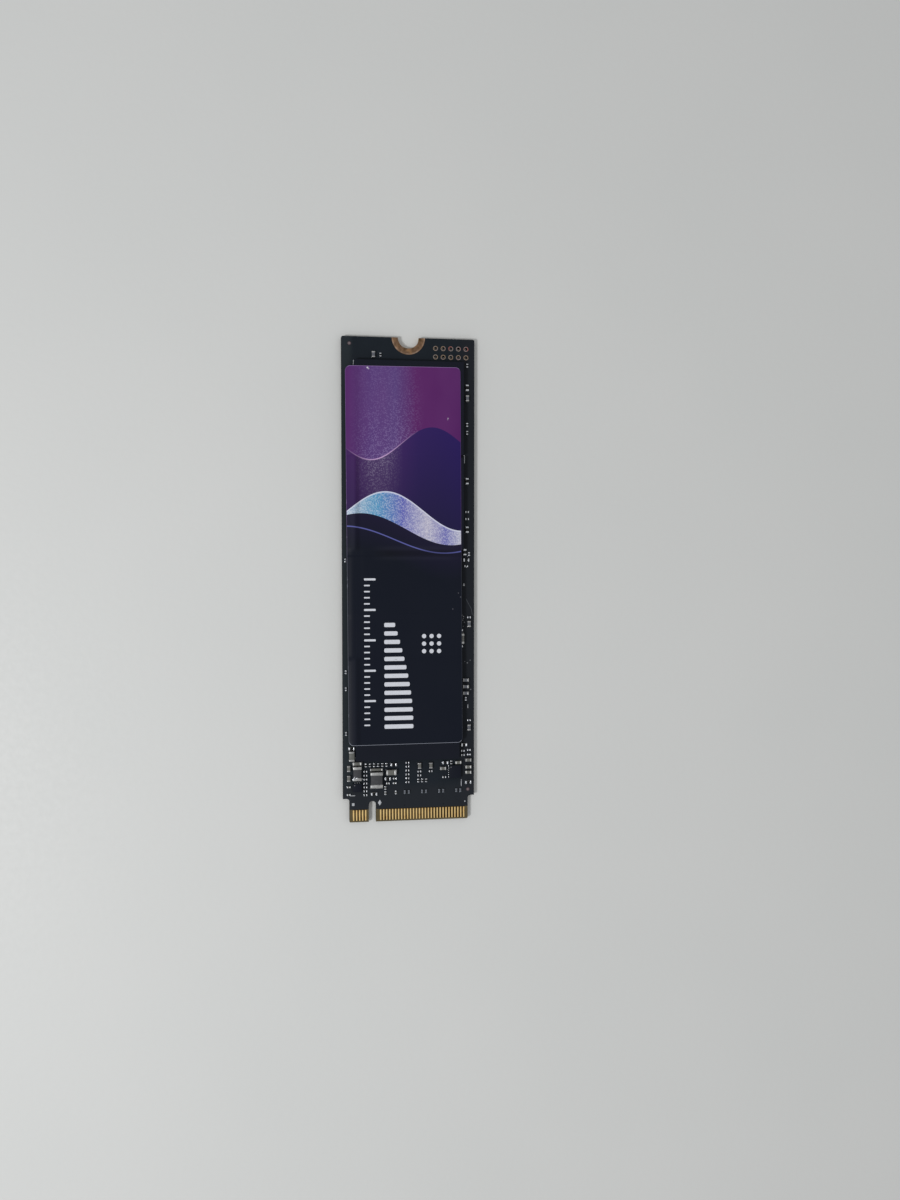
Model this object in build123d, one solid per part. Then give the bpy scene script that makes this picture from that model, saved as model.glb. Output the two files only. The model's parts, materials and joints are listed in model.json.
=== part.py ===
# M.2 solid-state drive: a bare memory card with a keyed edge connector at one end
# and a half-round screw seat at the other, lying flat with its label up.
# Millimetres. X runs across the card, Y along it towards the screw seat, Z up.
# The origin is under the middle of the card, on the surface that it lies on.
import os
from dataclasses import dataclass

from build123d import *

# Card, edge connector and key
BOARD_THICKNESS = 0.8
BOARD_CORNER = 0.3
SHOULDER_WIDTH = 1.075
SHOULDER_FILLET = 0.5
TONGUE_CORNER = 0.2
BEVEL_RISE = 0.2
BEVEL_RUN = 0.28
KEY_WIDTH = 1.2
KEY_DEPTH = 3.5
KEY_TO_SHOULDER = 0.5
KEY_FROM_TONGUE_SIDE = 3.8

# Gold contacts: the front row stands half a pitch to one side of the back row
CONTACT_PITCH = 0.5
CONTACT_WIDTH = 0.35
FRONT_CONTACT_LENGTH = 1.85
BACK_CONTACT_LENGTH = 2.35
CONTACT_TO_BEVEL = 0.02
CONTACT_TO_KEY = 1.125
CONTACT_TO_SIDE = 0.5
PLATING = 0.04

# Screw seat, spare header and alignment dots
SCREW_SEAT_RADIUS = 1.75
SCREW_PAD_RADIUS = 2.75
HEADER_COLUMNS = 5
HEADER_ROWS = 2
HEADER_PITCH = 1.27
HEADER_ROW_PITCH = 1.4
HEADER_PAD_RADIUS = 0.4
HEADER_HOLE_RADIUS = 0.28
HEADER_FROM_SIDE = 1.42
HEADER_FROM_END = 1.6
HEADER_TO_MEMORY = 0.5
DOT_RADIUS = 0.3
UPPER_DOT_FROM_SIDE = 1.32
UPPER_DOT_FROM_END = 1.15
LOWER_DOT_FROM_SIDE = 1.06
LOWER_DOT_FROM_SHOULDER = 0.98

# Ball-grid packages, in one row along the card, all of one height
PACKAGE_BODY_HEIGHT = 0.95
PACKAGE_EDGE = 0.05
MEMORY_WIDTH = 18.0
MEMORY_LENGTH = 15.25
MEMORY_GAP = 0.4
MEMORY_LEFT_MARGIN = 2.05
MEMORY_RIGHT_MARGIN = 1.95
CACHE_WIDTH = 15.0
CACHE_LENGTH = 10.0
CACHE_GAP = 1.0
CONTROLLER_WIDTH = 17.3
CONTROLLER_LENGTH = 17.0
CONTROLLER_GAP = 6.8
CONTROLLER_LEFT_MARGIN = 2.07
CONTROLLER_RIGHT_MARGIN = 2.63

# Solder balls between the packages and the card
BALL_RADIUS = 0.2
BALL_HEIGHT = 0.25
BALL_PITCH = 1.0
BALL_TO_EDGE = 1.18
CHANNEL_WIDTH = 2.0

# Front label: stuck on by hand, a little askew, its left side drooping past the chips
LABEL_THICKNESS = 0.1
LABEL_WIDTH = 18.9
LABEL_CORNER = 0.8
LABEL_TOP_SETBACK = 1.0
LABEL_BOTTOM_SETBACK = 2.7
LABEL_SHIFT = -0.85
LABEL_TWIST = 0.35
LABEL_DROOP_RADIUS = 3.0

# Plain back label
BACK_LABEL_THICKNESS = 0.1
BACK_LABEL_SIDE_MARGIN = 1.5
BACK_LABEL_TO_SHOULDER = 3.0
BACK_LABEL_TO_PAD = 1.5
BACK_LABEL_CORNER = 1.0


@dataclass(frozen=True)
class Case:
    """A chip part with a metal terminal at each end; its body stands inside them."""

    length: float
    width: float
    height: float
    terminal: float
    inset: float = 0.02


@dataclass(frozen=True)
class LeadedCase:
    """A power chip with a row of solder leads along one side."""

    width: float
    length: float
    height: float
    leads: int
    lead_pitch: float
    lead_width: float = 0.18
    lead_reach: float = 0.1
    lead_height: float = 0.15


# Cases of the chip parts
SMALL_CAPACITOR = Case(length=0.6, width=0.32, height=0.3, terminal=0.17)
SMALL_RESISTOR = Case(length=0.6, width=0.32, height=0.24, terminal=0.17)
MEDIUM_CAPACITOR = Case(length=1.0, width=0.55, height=0.5, terminal=0.25)
MEDIUM_RESISTOR = Case(length=1.0, width=0.52, height=0.35, terminal=0.24)
BULK_CAPACITOR = Case(length=1.7, width=0.95, height=0.8, terminal=0.38)
SLIM_CAPACITOR = Case(length=1.5, width=0.58, height=0.6, terminal=0.32)
LONG_CAPACITOR = Case(length=2.1, width=0.42, height=0.5, terminal=0.25)
SMALL_INDUCTOR = Case(length=2.4, width=1.45, height=0.9, terminal=0.55, inset=0.04)
LARGE_INDUCTOR = Case(length=2.65, width=2.1, height=1.0, terminal=0.6, inset=0.04)
REGULATOR = LeadedCase(width=1.5, length=1.4, height=0.55, leads=3, lead_pitch=0.38)
POWER_SWITCH = LeadedCase(width=2.0, length=2.15, height=0.55, leads=6, lead_pitch=0.38)

# Which case each group of chip parts has
GROUP_CASES = {
    "bulk_capacitors": BULK_CAPACITOR,
    "slim_capacitor": SLIM_CAPACITOR,
    "long_capacitor": LONG_CAPACITOR,
    "supply_capacitors": MEDIUM_CAPACITOR,
    "edge_capacitors": MEDIUM_CAPACITOR,
    "filter_capacitors": SMALL_CAPACITOR,
    "coupling_capacitors": SMALL_CAPACITOR,
    "bypass_capacitors": SMALL_CAPACITOR,
    "sense_resistors": SMALL_RESISTOR,
    "feedback_resistors": SMALL_RESISTOR,
    "strap_resistors": SMALL_RESISTOR,
    "termination_resistors": SMALL_RESISTOR,
    "edge_resistors": SMALL_RESISTOR,
    "pull_resistors": MEDIUM_RESISTOR,
    "small_inductor": SMALL_INDUCTOR,
    "large_inductor": LARGE_INDUCTOR,
}
ACROSS = 0
ALONG = 90

# Chip parts in lanes and rows. Each entry is the gap from the part before it (or from
# the lane's start), the part's group, and whether it lies across or along the card.
# Lanes run down the card, rows run to the right.
LEFT_LANE = [
    (0.82, "supply_capacitors", ALONG),
    (0.63, "supply_capacitors", ALONG),
    (0.8, "filter_capacitors", ACROSS),
    (0.95, "filter_capacitors", ACROSS),
]
SMALL_COIL_LANE = [(0.21, "slim_capacitor", ACROSS), (0.13, "small_inductor", ALONG)]
SENSE_ROW = [(0.37, "sense_resistors", ALONG)] * 6 + [(0.53, "pull_resistors", ACROSS)]
FEEDBACK_LADDER = [(0.335, "feedback_resistors", ACROSS)] * 7
LARGE_COIL_LANE = [(0.22, "long_capacitor", ACROSS), (0.13, "large_inductor", ALONG)]
COIL_PULL_ROW = [(0.17, "pull_resistors", ACROSS)]
BULK_ROW = [(0.57, "bulk_capacitors", ACROSS)]
COIL_SIDE_ROW = [(0.34, "pull_resistors", ACROSS), (0.38, "filter_capacitors", ACROSS)]
FILTER_ROW = [(0.55, "filter_capacitors", ACROSS), (0.55, "filter_capacitors", ACROSS)]
FILTER_LANE = [(0.3, "filter_capacitors", ALONG), (0.25, "filter_capacitors", ALONG)]
LONE_FILTER_LANE = [(1.1, "filter_capacitors", ALONG)]

STRAP_LADDER = [(0.335, "strap_resistors", ACROSS)] * 6
TERMINATION_LANE = [
    (0.65, "supply_capacitors", ALONG),
    (0.33, "termination_resistors", ACROSS),
    (0.34, "termination_resistors", ACROSS),
]
TERMINATION_ROW = [(0.35, "termination_resistors", ALONG)] * 3
SECOND_TERMINATION_LANE = [
    (0.65, "supply_capacitors", ALONG),
    (0.33, "termination_resistors", ACROSS),
]
COUPLING_PAIR = [(0, "coupling_capacitors", ALONG), (0.36, "coupling_capacitors", ALONG)]
COUPLING_PAIRS = 4
COUPLING_PITCH = 2.9

SIDE_LANE = [
    (0.14, "supply_capacitors", ACROSS),
    (0.62, "supply_capacitors", ACROSS),
    (0.35, "supply_capacitors", ACROSS),
    (1.19, "pull_resistors", ACROSS),
]
SWITCH_ROW = [
    (0, "pull_resistors", ACROSS),
    (0.35, "edge_resistors", ALONG),
    (0.53, "supply_capacitors", ACROSS),
]
SWITCH_LANE = [(0.375, "supply_capacitors", ACROSS)]
SWITCH_STRAP_LANE = [(1.075, "edge_resistors", ACROSS)]

UPPER_MEMORY_LANE = [
    (0.1, "edge_resistors", ALONG),
    (2.85, "pull_resistors", ALONG),
    (0.75, "edge_capacitors", ALONG),
    (3.55, "edge_resistors", ALONG),
    (0.7, "edge_resistors", ALONG),
]
LOWER_MEMORY_LANE = [
    (3.3, "pull_resistors", ALONG),
    (4.45, "edge_resistors", ACROSS),
    (0.85, "edge_resistors", ACROSS),
    (1.1, "pull_resistors", ALONG),
]
CACHE_TOP_LANE = [(2.75, "pull_resistors", ALONG)]
CACHE_BYPASS_LANE = [(3.26, "bypass_capacitors", ALONG)]
CACHE_SIDE_LANE = [(0.55, "pull_resistors", ACROSS), (0.6, "edge_resistors", ACROSS)]
CACHE_OUTER_LANE = [(0.05, "bypass_capacitors", ACROSS), (0.45, "edge_capacitors", ALONG)]
CACHE_INNER_LANE = [
    (2.21, "edge_resistors", ACROSS),
    (0.37, "bulk_capacitors", ALONG),
    (0.31, "edge_resistors", ACROSS),
]
CONTROLLER_LANE = [
    (3.65, "edge_capacitors", ACROSS),
    (0.55, "edge_capacitors", ACROSS),
    (0.55, "edge_capacitors", ACROSS),
    (0.4, "bypass_capacitors", ALONG),
]
CONTROLLER_OUTER_LANE = [(3.15, "bypass_capacitors", ACROSS), (0.55, "edge_capacitors", ALONG)]
CORNER_ROW = [(0.42, "pull_resistors", ACROSS)]
CORNER_INNER_LANE = [(0.6, "edge_resistors", ACROSS), (0.38, "edge_resistors", ACROSS)]
CORNER_OUTER_LANE = [(0.45, "bypass_capacitors", ACROSS), (0.48, "bypass_capacitors", ACROSS)]

CACHE_LEFT_LANE = [(0.4, "bypass_capacitors", ALONG)]
CONTROLLER_LEFT_LANE = [
    (2.0, "bypass_capacitors", ALONG),
    (2.2, "bypass_capacitors", ALONG),
    (6.8, "bypass_capacitors", ALONG),
]
TOP_ROW = [(2.9, "edge_capacitors", ALONG), (0.73, "edge_resistors", ALONG)]

# Room between the lanes, from the card's sides and from the packages
LEFT_LANE_FROM_SIDE = 0.67
BYPASS_LANE_FROM_SIDE = 0.4
BULK_TO_CONTROLLER = 0.14
BULK_BELOW_CONTROLLER = 0.08
BULK_TO_PULL = 0.12
SMALL_COIL_TO_LANE = 0.38
COIL_TO_REGULATOR = 0.38
SENSE_TO_CONTROLLER = 0.55
SENSE_TO_COIL = 0.14
LADDER_TO_COIL = 0.18
LADDER_TO_SENSE = -0.095
LARGE_COIL_TO_LADDER = 0.46
COIL_TO_PULL = 0.85
BULK_TO_SENSE = 0.46
PULL_TO_BULK = 0.37
FILTER_TO_PULL = 0.35
FILTER_LANE_TO_COIL = 0.27
LONE_FILTER_TO_COIL = 2.02
PULL_TO_SHOULDER = 0.46
STRAP_LEFT = -0.57
STRAP_TO_CONTROLLER = 0.1
TERMINATION_TO_STRAP = 1.43
TERMINATION_ROW_GAP = 0.4
TERMINATION_ROW_OVERHANG = 0.45
SECOND_TERMINATION_GAP = 1.35
COUPLING_FROM_SIDE = 2.2
COUPLING_TO_SHOULDER = 0.6
SIDE_LANE_FROM_SIDE = 0.5
SWITCH_TO_SIDE_LANE = 0.78
SWITCH_ROW_TO_CONTROLLER = 0.5
SWITCH_ROW_OVERHANG = 1.12
SWITCH_TO_ROW = 0.15
SWITCH_LANE_TO_LEADS = 0.4
SWITCH_STRAP_SHIFT = 0.21
MEMORY_LANE_GAP = 0.45
OUTER_LANE_FROM_SIDE = 0.9
CACHE_INNER_SETBACK = 0.37
SIDE_PART_GAP = 0.08
CONTROLLER_LANE_FROM_SIDE = 0.95
CORNER_ABOVE_EDGE = 2.15
TOP_ROW_TO_MEMORY = 0.5

# Heights of the stack
board_low = BACK_LABEL_THICKNESS
board_top = board_low + BOARD_THICKNESS
package_low = board_top + BALL_HEIGHT
package_top = package_low + PACKAGE_BODY_HEIGHT

# Places across the card: it is as wide as its widest package with the margins beside it
memory_row_width = MEMORY_LEFT_MARGIN + MEMORY_WIDTH + MEMORY_RIGHT_MARGIN
controller_row_width = CONTROLLER_LEFT_MARGIN + CONTROLLER_WIDTH + CONTROLLER_RIGHT_MARGIN
board_width = max(memory_row_width, controller_row_width)
board_right = board_width / 2
board_left = -board_right
memory_left = board_left + MEMORY_LEFT_MARGIN
memory_right = memory_left + MEMORY_WIDTH
memory_middle = (memory_left + memory_right) / 2
cache_left = memory_middle - CACHE_WIDTH / 2
cache_right = memory_middle + CACHE_WIDTH / 2
controller_left = board_left + CONTROLLER_LEFT_MARGIN
controller_right = controller_left + CONTROLLER_WIDTH
tongue_width = board_width - 2 * SHOULDER_WIDTH
tongue_right = tongue_width / 2
key_x = KEY_FROM_TONGUE_SIDE - tongue_right


def spans(group, turn):
    """How far one chip part reaches across and along the card."""
    case = GROUP_CASES[group]
    if turn == ALONG:
        return case.width, case.length
    return case.length, case.width


def lane_length(entries):
    """How far down the card a lane reaches."""
    return sum(gap + spans(group, turn)[1] for gap, group, turn in entries)


def row_length(entries):
    """How far across the card a row reaches."""
    return sum(gap + spans(group, turn)[0] for gap, group, turn in entries)


# Places along the card, from the connector's edge up to the screw seat
sense_depth = SENSE_TO_CONTROLLER + SMALL_RESISTOR.length
coil_depth = lane_length(LARGE_COIL_LANE) + COIL_TO_PULL + MEDIUM_RESISTOR.width
supply_zone = sense_depth + coil_depth + PULL_TO_SHOULDER
tongue_length = KEY_DEPTH + KEY_TO_SHOULDER
header_depth = HEADER_FROM_END + (HEADER_ROWS - 1) * HEADER_ROW_PITCH + HEADER_PAD_RADIUS
end_zone = header_depth + HEADER_TO_MEMORY
controller_zone = CONTROLLER_LENGTH + CONTROLLER_GAP
memory_zone = CACHE_LENGTH + CACHE_GAP + 2 * MEMORY_LENGTH + MEMORY_GAP
board_length = tongue_length + supply_zone + controller_zone + memory_zone + end_zone
board_end = board_length / 2
board_edge = -board_end
shoulder_y = board_edge + tongue_length
controller_low = shoulder_y + supply_zone
controller_high = controller_low + CONTROLLER_LENGTH
cache_low = controller_high + CONTROLLER_GAP
cache_high = cache_low + CACHE_LENGTH
memory_lower_low = cache_high + CACHE_GAP
memory_lower_high = memory_lower_low + MEMORY_LENGTH
memory_upper_low = memory_lower_high + MEMORY_GAP
memory_upper_high = memory_upper_low + MEMORY_LENGTH

nodes = {}


def block(x_low, x_high, y_low, y_high, z_low, z_high):
    """A box between two corners."""
    middle = ((x_low + x_high) / 2, (y_low + y_high) / 2, (z_low + z_high) / 2)
    return Pos(*middle) * Box(x_high - x_low, y_high - y_low, z_high - z_low)


def post(x, y, radius, z_low, z_high):
    """A round post between two heights."""
    return Pos(x, y, (z_low + z_high) / 2) * Cylinder(radius, z_high - z_low)


# The card

def header_places():
    """Centres of the spare header's holes."""
    places = []
    for row_index in range(HEADER_ROWS):
        for column_index in range(HEADER_COLUMNS):
            x = board_right - HEADER_FROM_SIDE - column_index * HEADER_PITCH
            y = board_end - HEADER_FROM_END - row_index * HEADER_ROW_PITCH
            places.append((x, y))
    return places


def round_corners(outline, places, radius):
    """Round the outline's corners nearest to the given places."""
    corners = [outline.vertices().sort_by_distance(place)[0] for place in places]
    return fillet(corners, radius)


def board_outline():
    """The card seen from above: a body with a narrower, keyed tongue."""
    body_length = board_end - shoulder_y
    outline = Pos(0, shoulder_y + body_length / 2) * Rectangle(board_width, body_length)
    outline += Pos(0, board_edge + board_length / 4) * Rectangle(tongue_width, board_length / 2)
    shoulders = [(-tongue_right, shoulder_y, 0), (tongue_right, shoulder_y, 0)]
    end_corners = [(board_left, board_end, 0), (board_right, board_end, 0)]
    tongue_corners = [(-tongue_right, board_edge, 0), (tongue_right, board_edge, 0)]
    outline = round_corners(outline, shoulders, SHOULDER_FILLET)
    outline = round_corners(outline, end_corners, BOARD_CORNER)
    outline = round_corners(outline, tongue_corners, TONGUE_CORNER)
    key_straight = KEY_DEPTH - KEY_WIDTH / 2
    outline -= Pos(key_x, board_edge + key_straight / 2) * Rectangle(KEY_WIDTH, key_straight)
    outline -= Pos(key_x, board_edge + key_straight) * Circle(KEY_WIDTH / 2)
    outline -= Pos(0, board_end) * Circle(SCREW_SEAT_RADIUS)
    for x, y in header_places():
        outline -= Pos(x, y) * Circle(HEADER_HOLE_RADIUS + PLATING)
    return outline


def circuit_board():
    """The laminate, with the tongue's leading edge bevelled on both faces."""
    board = Pos(0, 0, board_low) * extrude(board_outline(), BOARD_THICKNESS)
    for face_z, inward in ((board_top, -1), (board_low, 1)):
        wedge = Polygon(
            (board_edge, face_z),
            (board_edge + BEVEL_RUN, face_z),
            (board_edge, face_z + inward * BEVEL_RISE),
            align=None,
        )
        board -= extrude(Plane.YZ * wedge, board_width, both=True)
    return board


def contact_places(near_right, near_left):
    """X places of one row of contacts, counted outwards from the key both ways."""
    reach = tongue_right - CONTACT_TO_SIDE
    places = []
    x = key_x + near_right
    while x <= reach:
        places.append(x)
        x += CONTACT_PITCH
    x = key_x - near_left
    while x >= -reach:
        places.append(x)
        x -= CONTACT_PITCH
    return places


def contacts(places, length, z_low):
    """One row of flat gold contacts that ends just short of the bevel."""
    y_low = board_edge + BEVEL_RUN + CONTACT_TO_BEVEL
    half = CONTACT_WIDTH / 2
    return [block(x - half, x + half, y_low, y_low + length, z_low, z_low + PLATING) for x in places]


def add_contacts():
    """The two rows of contacts, half a pitch apart."""
    near = CONTACT_TO_KEY
    far = CONTACT_TO_KEY + CONTACT_PITCH / 2
    nodes["front_contacts"] = contacts(contact_places(far, near), FRONT_CONTACT_LENGTH, board_top)
    nodes["back_contacts"] = contacts(contact_places(near, far), BACK_CONTACT_LENGTH, board_low - PLATING)


def plated_hole(x, y, hole_radius, pad_radius):
    """A sleeve through the card with a flat ring on each face."""
    z_low = board_low - PLATING
    z_high = board_top + PLATING
    pad = post(x, y, pad_radius, board_top, z_high)
    pad += post(x, y, pad_radius, z_low, board_low)
    pad += post(x, y, hole_radius + PLATING, board_low, board_top)
    return pad - post(x, y, hole_radius, z_low, z_high)


def screw_seat():
    """Half-round pads around the screw's seat, one on each face of the card."""
    beyond = board_end + SCREW_PAD_RADIUS
    outer_half = block(-board_right, board_right, board_end, beyond, 0, package_top)
    pads = []
    for z_low in (board_top, board_low - PLATING):
        ring = post(0, board_end, SCREW_PAD_RADIUS, z_low, z_low + PLATING)
        ring -= post(0, board_end, SCREW_SEAT_RADIUS, z_low, z_low + PLATING)
        pads.append(ring - outer_half)
    return pads


def alignment_dots():
    """Two bare copper dots, at opposite corners of the card."""
    places = [
        (board_left + UPPER_DOT_FROM_SIDE, board_end - UPPER_DOT_FROM_END),
        (board_right - LOWER_DOT_FROM_SIDE, shoulder_y + LOWER_DOT_FROM_SHOULDER),
    ]
    return [post(x, y, DOT_RADIUS, board_top, board_top + PLATING) for x, y in places]


# Ball-grid packages

def package(x_low, x_high, y_low, y_high):
    """A moulded package, its top edges just broken."""
    body = block(x_low, x_high, y_low, y_high, package_low, package_top)
    return chamfer(body.faces().sort_by(Axis.Z)[-1].edges(), PACKAGE_EDGE)


def ball_places(low, high, channel):
    """Even places along one direction, with a clear channel in the middle."""
    middle = (low + high) / 2
    start = max(channel, BALL_PITCH) / 2
    reach = (high - low) / 2 - BALL_TO_EDGE
    count = int((reach - start) / BALL_PITCH) + 1
    steps = [start + step * BALL_PITCH for step in range(count)]
    return [middle - step for step in steps] + [middle + step for step in steps]


def solder_balls(x_low, x_high, y_low, y_high, channel):
    """The squashed balls that carry one package."""
    balls = []
    for x in ball_places(x_low, x_high, channel):
        for y in ball_places(y_low, y_high, 0):
            balls.append(post(x, y, BALL_RADIUS, board_top, package_low))
    return balls


def add_packages():
    """The four packages of the row and the balls under each."""
    places = {
        "memory_chip_upper": (memory_left, memory_right, memory_upper_low, memory_upper_high),
        "memory_chip_lower": (memory_left, memory_right, memory_lower_low, memory_lower_high),
        "cache_chip": (cache_left, cache_right, cache_low, cache_high),
        "controller_chip": (controller_left, controller_right, controller_low, controller_high),
    }
    for name, place in places.items():
        channel = 0 if name == "controller_chip" else CHANNEL_WIDTH
        nodes[name] = [package(*place)]
        nodes[name + "_balls"] = solder_balls(*place, channel)


# Chip parts

def chip_part(case):
    """One chip part along X, standing on the card's face at the origin."""
    half = case.length / 2
    side = case.width / 2
    inset = case.inset
    body_height = case.height - inset
    shape = block(inset - half, half - inset, inset - side, side - inset, inset, body_height)
    shape += block(-half, case.terminal - half, -side, side, 0, case.height)
    shape += block(half - case.terminal, half, -side, side, 0, case.height)
    return shape


CHIP_SHAPES = {group: chip_part(case) for group, case in GROUP_CASES.items()}


def put(group, x, y, turn):
    """Add one chip part of a group, its middle at x, y."""
    shape = Pos(x, y, board_top) * Rot(0, 0, turn) * CHIP_SHAPES[group]
    nodes.setdefault(group, []).append(shape)


def row(x_left, y_middle, entries):
    """Parts side by side, each a gap to the right of the one before."""
    for gap, group, turn in entries:
        wide = spans(group, turn)[0]
        put(group, x_left + gap + wide / 2, y_middle, turn)
        x_left += gap + wide


def lane(x_middle, y_top, entries):
    """Parts one below the other, each a gap under the one before; gives the lower end."""
    for gap, group, turn in entries:
        tall = spans(group, turn)[1]
        put(group, x_middle, y_top - gap - tall / 2, turn)
        y_top -= gap + tall
    return y_top


def leaded_chip(case, x_left, y_top, lead_side):
    """A power chip whose leads show along its top or its left side."""
    x_right = x_left + case.width
    y_low = y_top - case.length
    chip = block(x_left, x_right, y_low, y_top, board_top, board_top + case.height)
    lead_top = board_top + case.lead_height
    half = case.lead_width / 2
    for lead in range(case.leads):
        along = (lead - (case.leads - 1) / 2) * case.lead_pitch
        if lead_side == "top":
            x = (x_left + x_right) / 2 + along
            chip += block(x - half, x + half, y_top, y_top + case.lead_reach, board_top, lead_top)
        else:
            y = (y_low + y_top) / 2 + along
            chip += block(x_left - case.lead_reach, x_left, y - half, y + half, board_top, lead_top)
    return chip


def add_left_corner():
    """The bulk capacitor beside the controller, with a resistor above it."""
    x = controller_left - BULK_TO_CONTROLLER - BULK_CAPACITOR.width / 2
    bulk_low = controller_low - BULK_BELOW_CONTROLLER
    bulk_high = bulk_low + BULK_CAPACITOR.length
    put("bulk_capacitors", x, (bulk_low + bulk_high) / 2, ALONG)
    put("pull_resistors", x, bulk_high + BULK_TO_PULL + MEDIUM_RESISTOR.width / 2, ACROSS)


def add_left_supply():
    """The regulator, the two inductors and the parts around them."""
    lane_left = board_left + LEFT_LANE_FROM_SIDE
    lane(lane_left + MEDIUM_CAPACITOR.width / 2, controller_low, LEFT_LANE)

    small_coil_left = lane_left + MEDIUM_CAPACITOR.width + SMALL_COIL_TO_LANE
    small_coil_x = small_coil_left + SLIM_CAPACITOR.length / 2
    low = lane(small_coil_x, controller_low, SMALL_COIL_LANE)
    chip_left = small_coil_x - REGULATOR.width / 2
    chip_top = low - COIL_TO_REGULATOR - REGULATOR.lead_reach
    nodes["regulator_chip"] = [leaded_chip(REGULATOR, chip_left, chip_top, "top")]

    supply_left = small_coil_left + SLIM_CAPACITOR.length
    sense_low = controller_low - sense_depth
    row(supply_left + SENSE_TO_COIL, sense_low + SMALL_RESISTOR.length / 2, SENSE_ROW)

    ladder_left = supply_left + SENSE_TO_COIL + LADDER_TO_COIL
    ladder_x = ladder_left + SMALL_RESISTOR.length / 2
    lane(ladder_x, sense_low + LADDER_TO_SENSE - SMALL_RESISTOR.width / 2, FEEDBACK_LADDER)

    coil_left = ladder_left + SMALL_RESISTOR.length + LARGE_COIL_TO_LADDER
    coil_right = coil_left + LARGE_INDUCTOR.width
    low = lane((coil_left + coil_right) / 2, sense_low, LARGE_COIL_LANE)
    row(coil_left, low - COIL_TO_PULL - MEDIUM_RESISTOR.width / 2, COIL_PULL_ROW)
    add_coil_side(coil_right, sense_low)


def add_coil_side(coil_right, sense_low):
    """The parts right of the large inductor, in rows from the top down."""
    low = sense_low - BULK_TO_SENSE - BULK_CAPACITOR.width
    row(coil_right, low + BULK_CAPACITOR.width / 2, BULK_ROW)
    low -= PULL_TO_BULK + MEDIUM_RESISTOR.width
    row(coil_right, low + MEDIUM_RESISTOR.width / 2, COIL_SIDE_ROW)
    low -= FILTER_TO_PULL + SMALL_CAPACITOR.width
    row(coil_right, low + SMALL_CAPACITOR.width / 2, FILTER_ROW)
    half = SMALL_CAPACITOR.width / 2
    lane(coil_right + FILTER_LANE_TO_COIL + half, low, FILTER_LANE)
    lane(coil_right + LONE_FILTER_TO_COIL + half, low, LONE_FILTER_LANE)


def add_middle_supply():
    """Straps and terminations above the contacts, and the lane coupling capacitors."""
    strap_x = STRAP_LEFT + SMALL_RESISTOR.length / 2
    lane(strap_x, controller_low - STRAP_TO_CONTROLLER, STRAP_LADDER)

    lane_left = STRAP_LEFT + SMALL_RESISTOR.length + TERMINATION_TO_STRAP
    lane_x = lane_left + MEDIUM_CAPACITOR.width / 2
    low = lane(lane_x, controller_low, TERMINATION_LANE)
    row_y = low - TERMINATION_ROW_GAP - SMALL_RESISTOR.length / 2
    row(lane_left - TERMINATION_ROW_OVERHANG, row_y, TERMINATION_ROW)

    lane_x += MEDIUM_CAPACITOR.width + SECOND_TERMINATION_GAP
    lane(lane_x, controller_low, SECOND_TERMINATION_LANE)

    pair_y = shoulder_y + COUPLING_TO_SHOULDER + SMALL_CAPACITOR.length / 2
    last_pair_left = board_right - COUPLING_FROM_SIDE - row_length(COUPLING_PAIR)
    for pair in range(COUPLING_PAIRS):
        row(last_pair_left - pair * COUPLING_PITCH, pair_y, COUPLING_PAIR)


def add_right_supply():
    """The power switch and the parts along the card's lower right side."""
    side_left = board_right - SIDE_LANE_FROM_SIDE - MEDIUM_CAPACITOR.length
    lane(side_left + MEDIUM_CAPACITOR.length / 2, controller_low, SIDE_LANE)

    chip_left = side_left - SWITCH_TO_SIDE_LANE - POWER_SWITCH.width
    row_high = controller_low - SWITCH_ROW_TO_CONTROLLER
    row_low = row_high - MEDIUM_CAPACITOR.width
    row(chip_left - SWITCH_ROW_OVERHANG, (row_low + row_high) / 2, SWITCH_ROW)
    chip = leaded_chip(POWER_SWITCH, chip_left, row_low - SWITCH_TO_ROW, "left")
    nodes["power_switch_chip"] = [chip]

    leads_left = chip_left - POWER_SWITCH.lead_reach
    lane_x = leads_left - SWITCH_LANE_TO_LEADS - MEDIUM_CAPACITOR.length / 2
    low = lane(lane_x, row_low, SWITCH_LANE)
    lane(lane_x + SWITCH_STRAP_SHIFT, low, SWITCH_STRAP_LANE)


def add_right_margin():
    """Parts down the right side of the card, beside the packages."""
    memory_x = memory_right + MEMORY_LANE_GAP + MEDIUM_CAPACITOR.width / 2
    lane(memory_x, memory_upper_high, UPPER_MEMORY_LANE)
    low = lane(memory_x, memory_lower_high, LOWER_MEMORY_LANE)

    beside_cache = max(memory_right, cache_right) + SIDE_PART_GAP
    outer_x = board_right - OUTER_LANE_FROM_SIDE
    lane(outer_x, low, CACHE_BYPASS_LANE)
    low = lane(beside_cache + MEDIUM_RESISTOR.width / 2, low, CACHE_TOP_LANE)
    lane(beside_cache + MEDIUM_RESISTOR.length / 2, low, CACHE_SIDE_LANE)
    lane(outer_x, cache_low, CACHE_OUTER_LANE)
    lane(beside_cache - CACHE_INNER_SETBACK, cache_low, CACHE_INNER_LANE)

    lane_right = board_right - CONTROLLER_LANE_FROM_SIDE
    low = lane(lane_right - MEDIUM_CAPACITOR.length / 2, controller_high, CONTROLLER_LANE)
    lane(outer_x, low, CONTROLLER_OUTER_LANE)

    corner_y = controller_low + CORNER_ABOVE_EDGE
    row(controller_right, corner_y, CORNER_ROW)
    corner_low = corner_y - MEDIUM_RESISTOR.width / 2
    inner_x = controller_right + CORNER_ROW[0][0] + SMALL_RESISTOR.length / 2
    lane(inner_x, corner_low, CORNER_INNER_LANE)
    lane(outer_x, corner_low, CORNER_OUTER_LANE)


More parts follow.
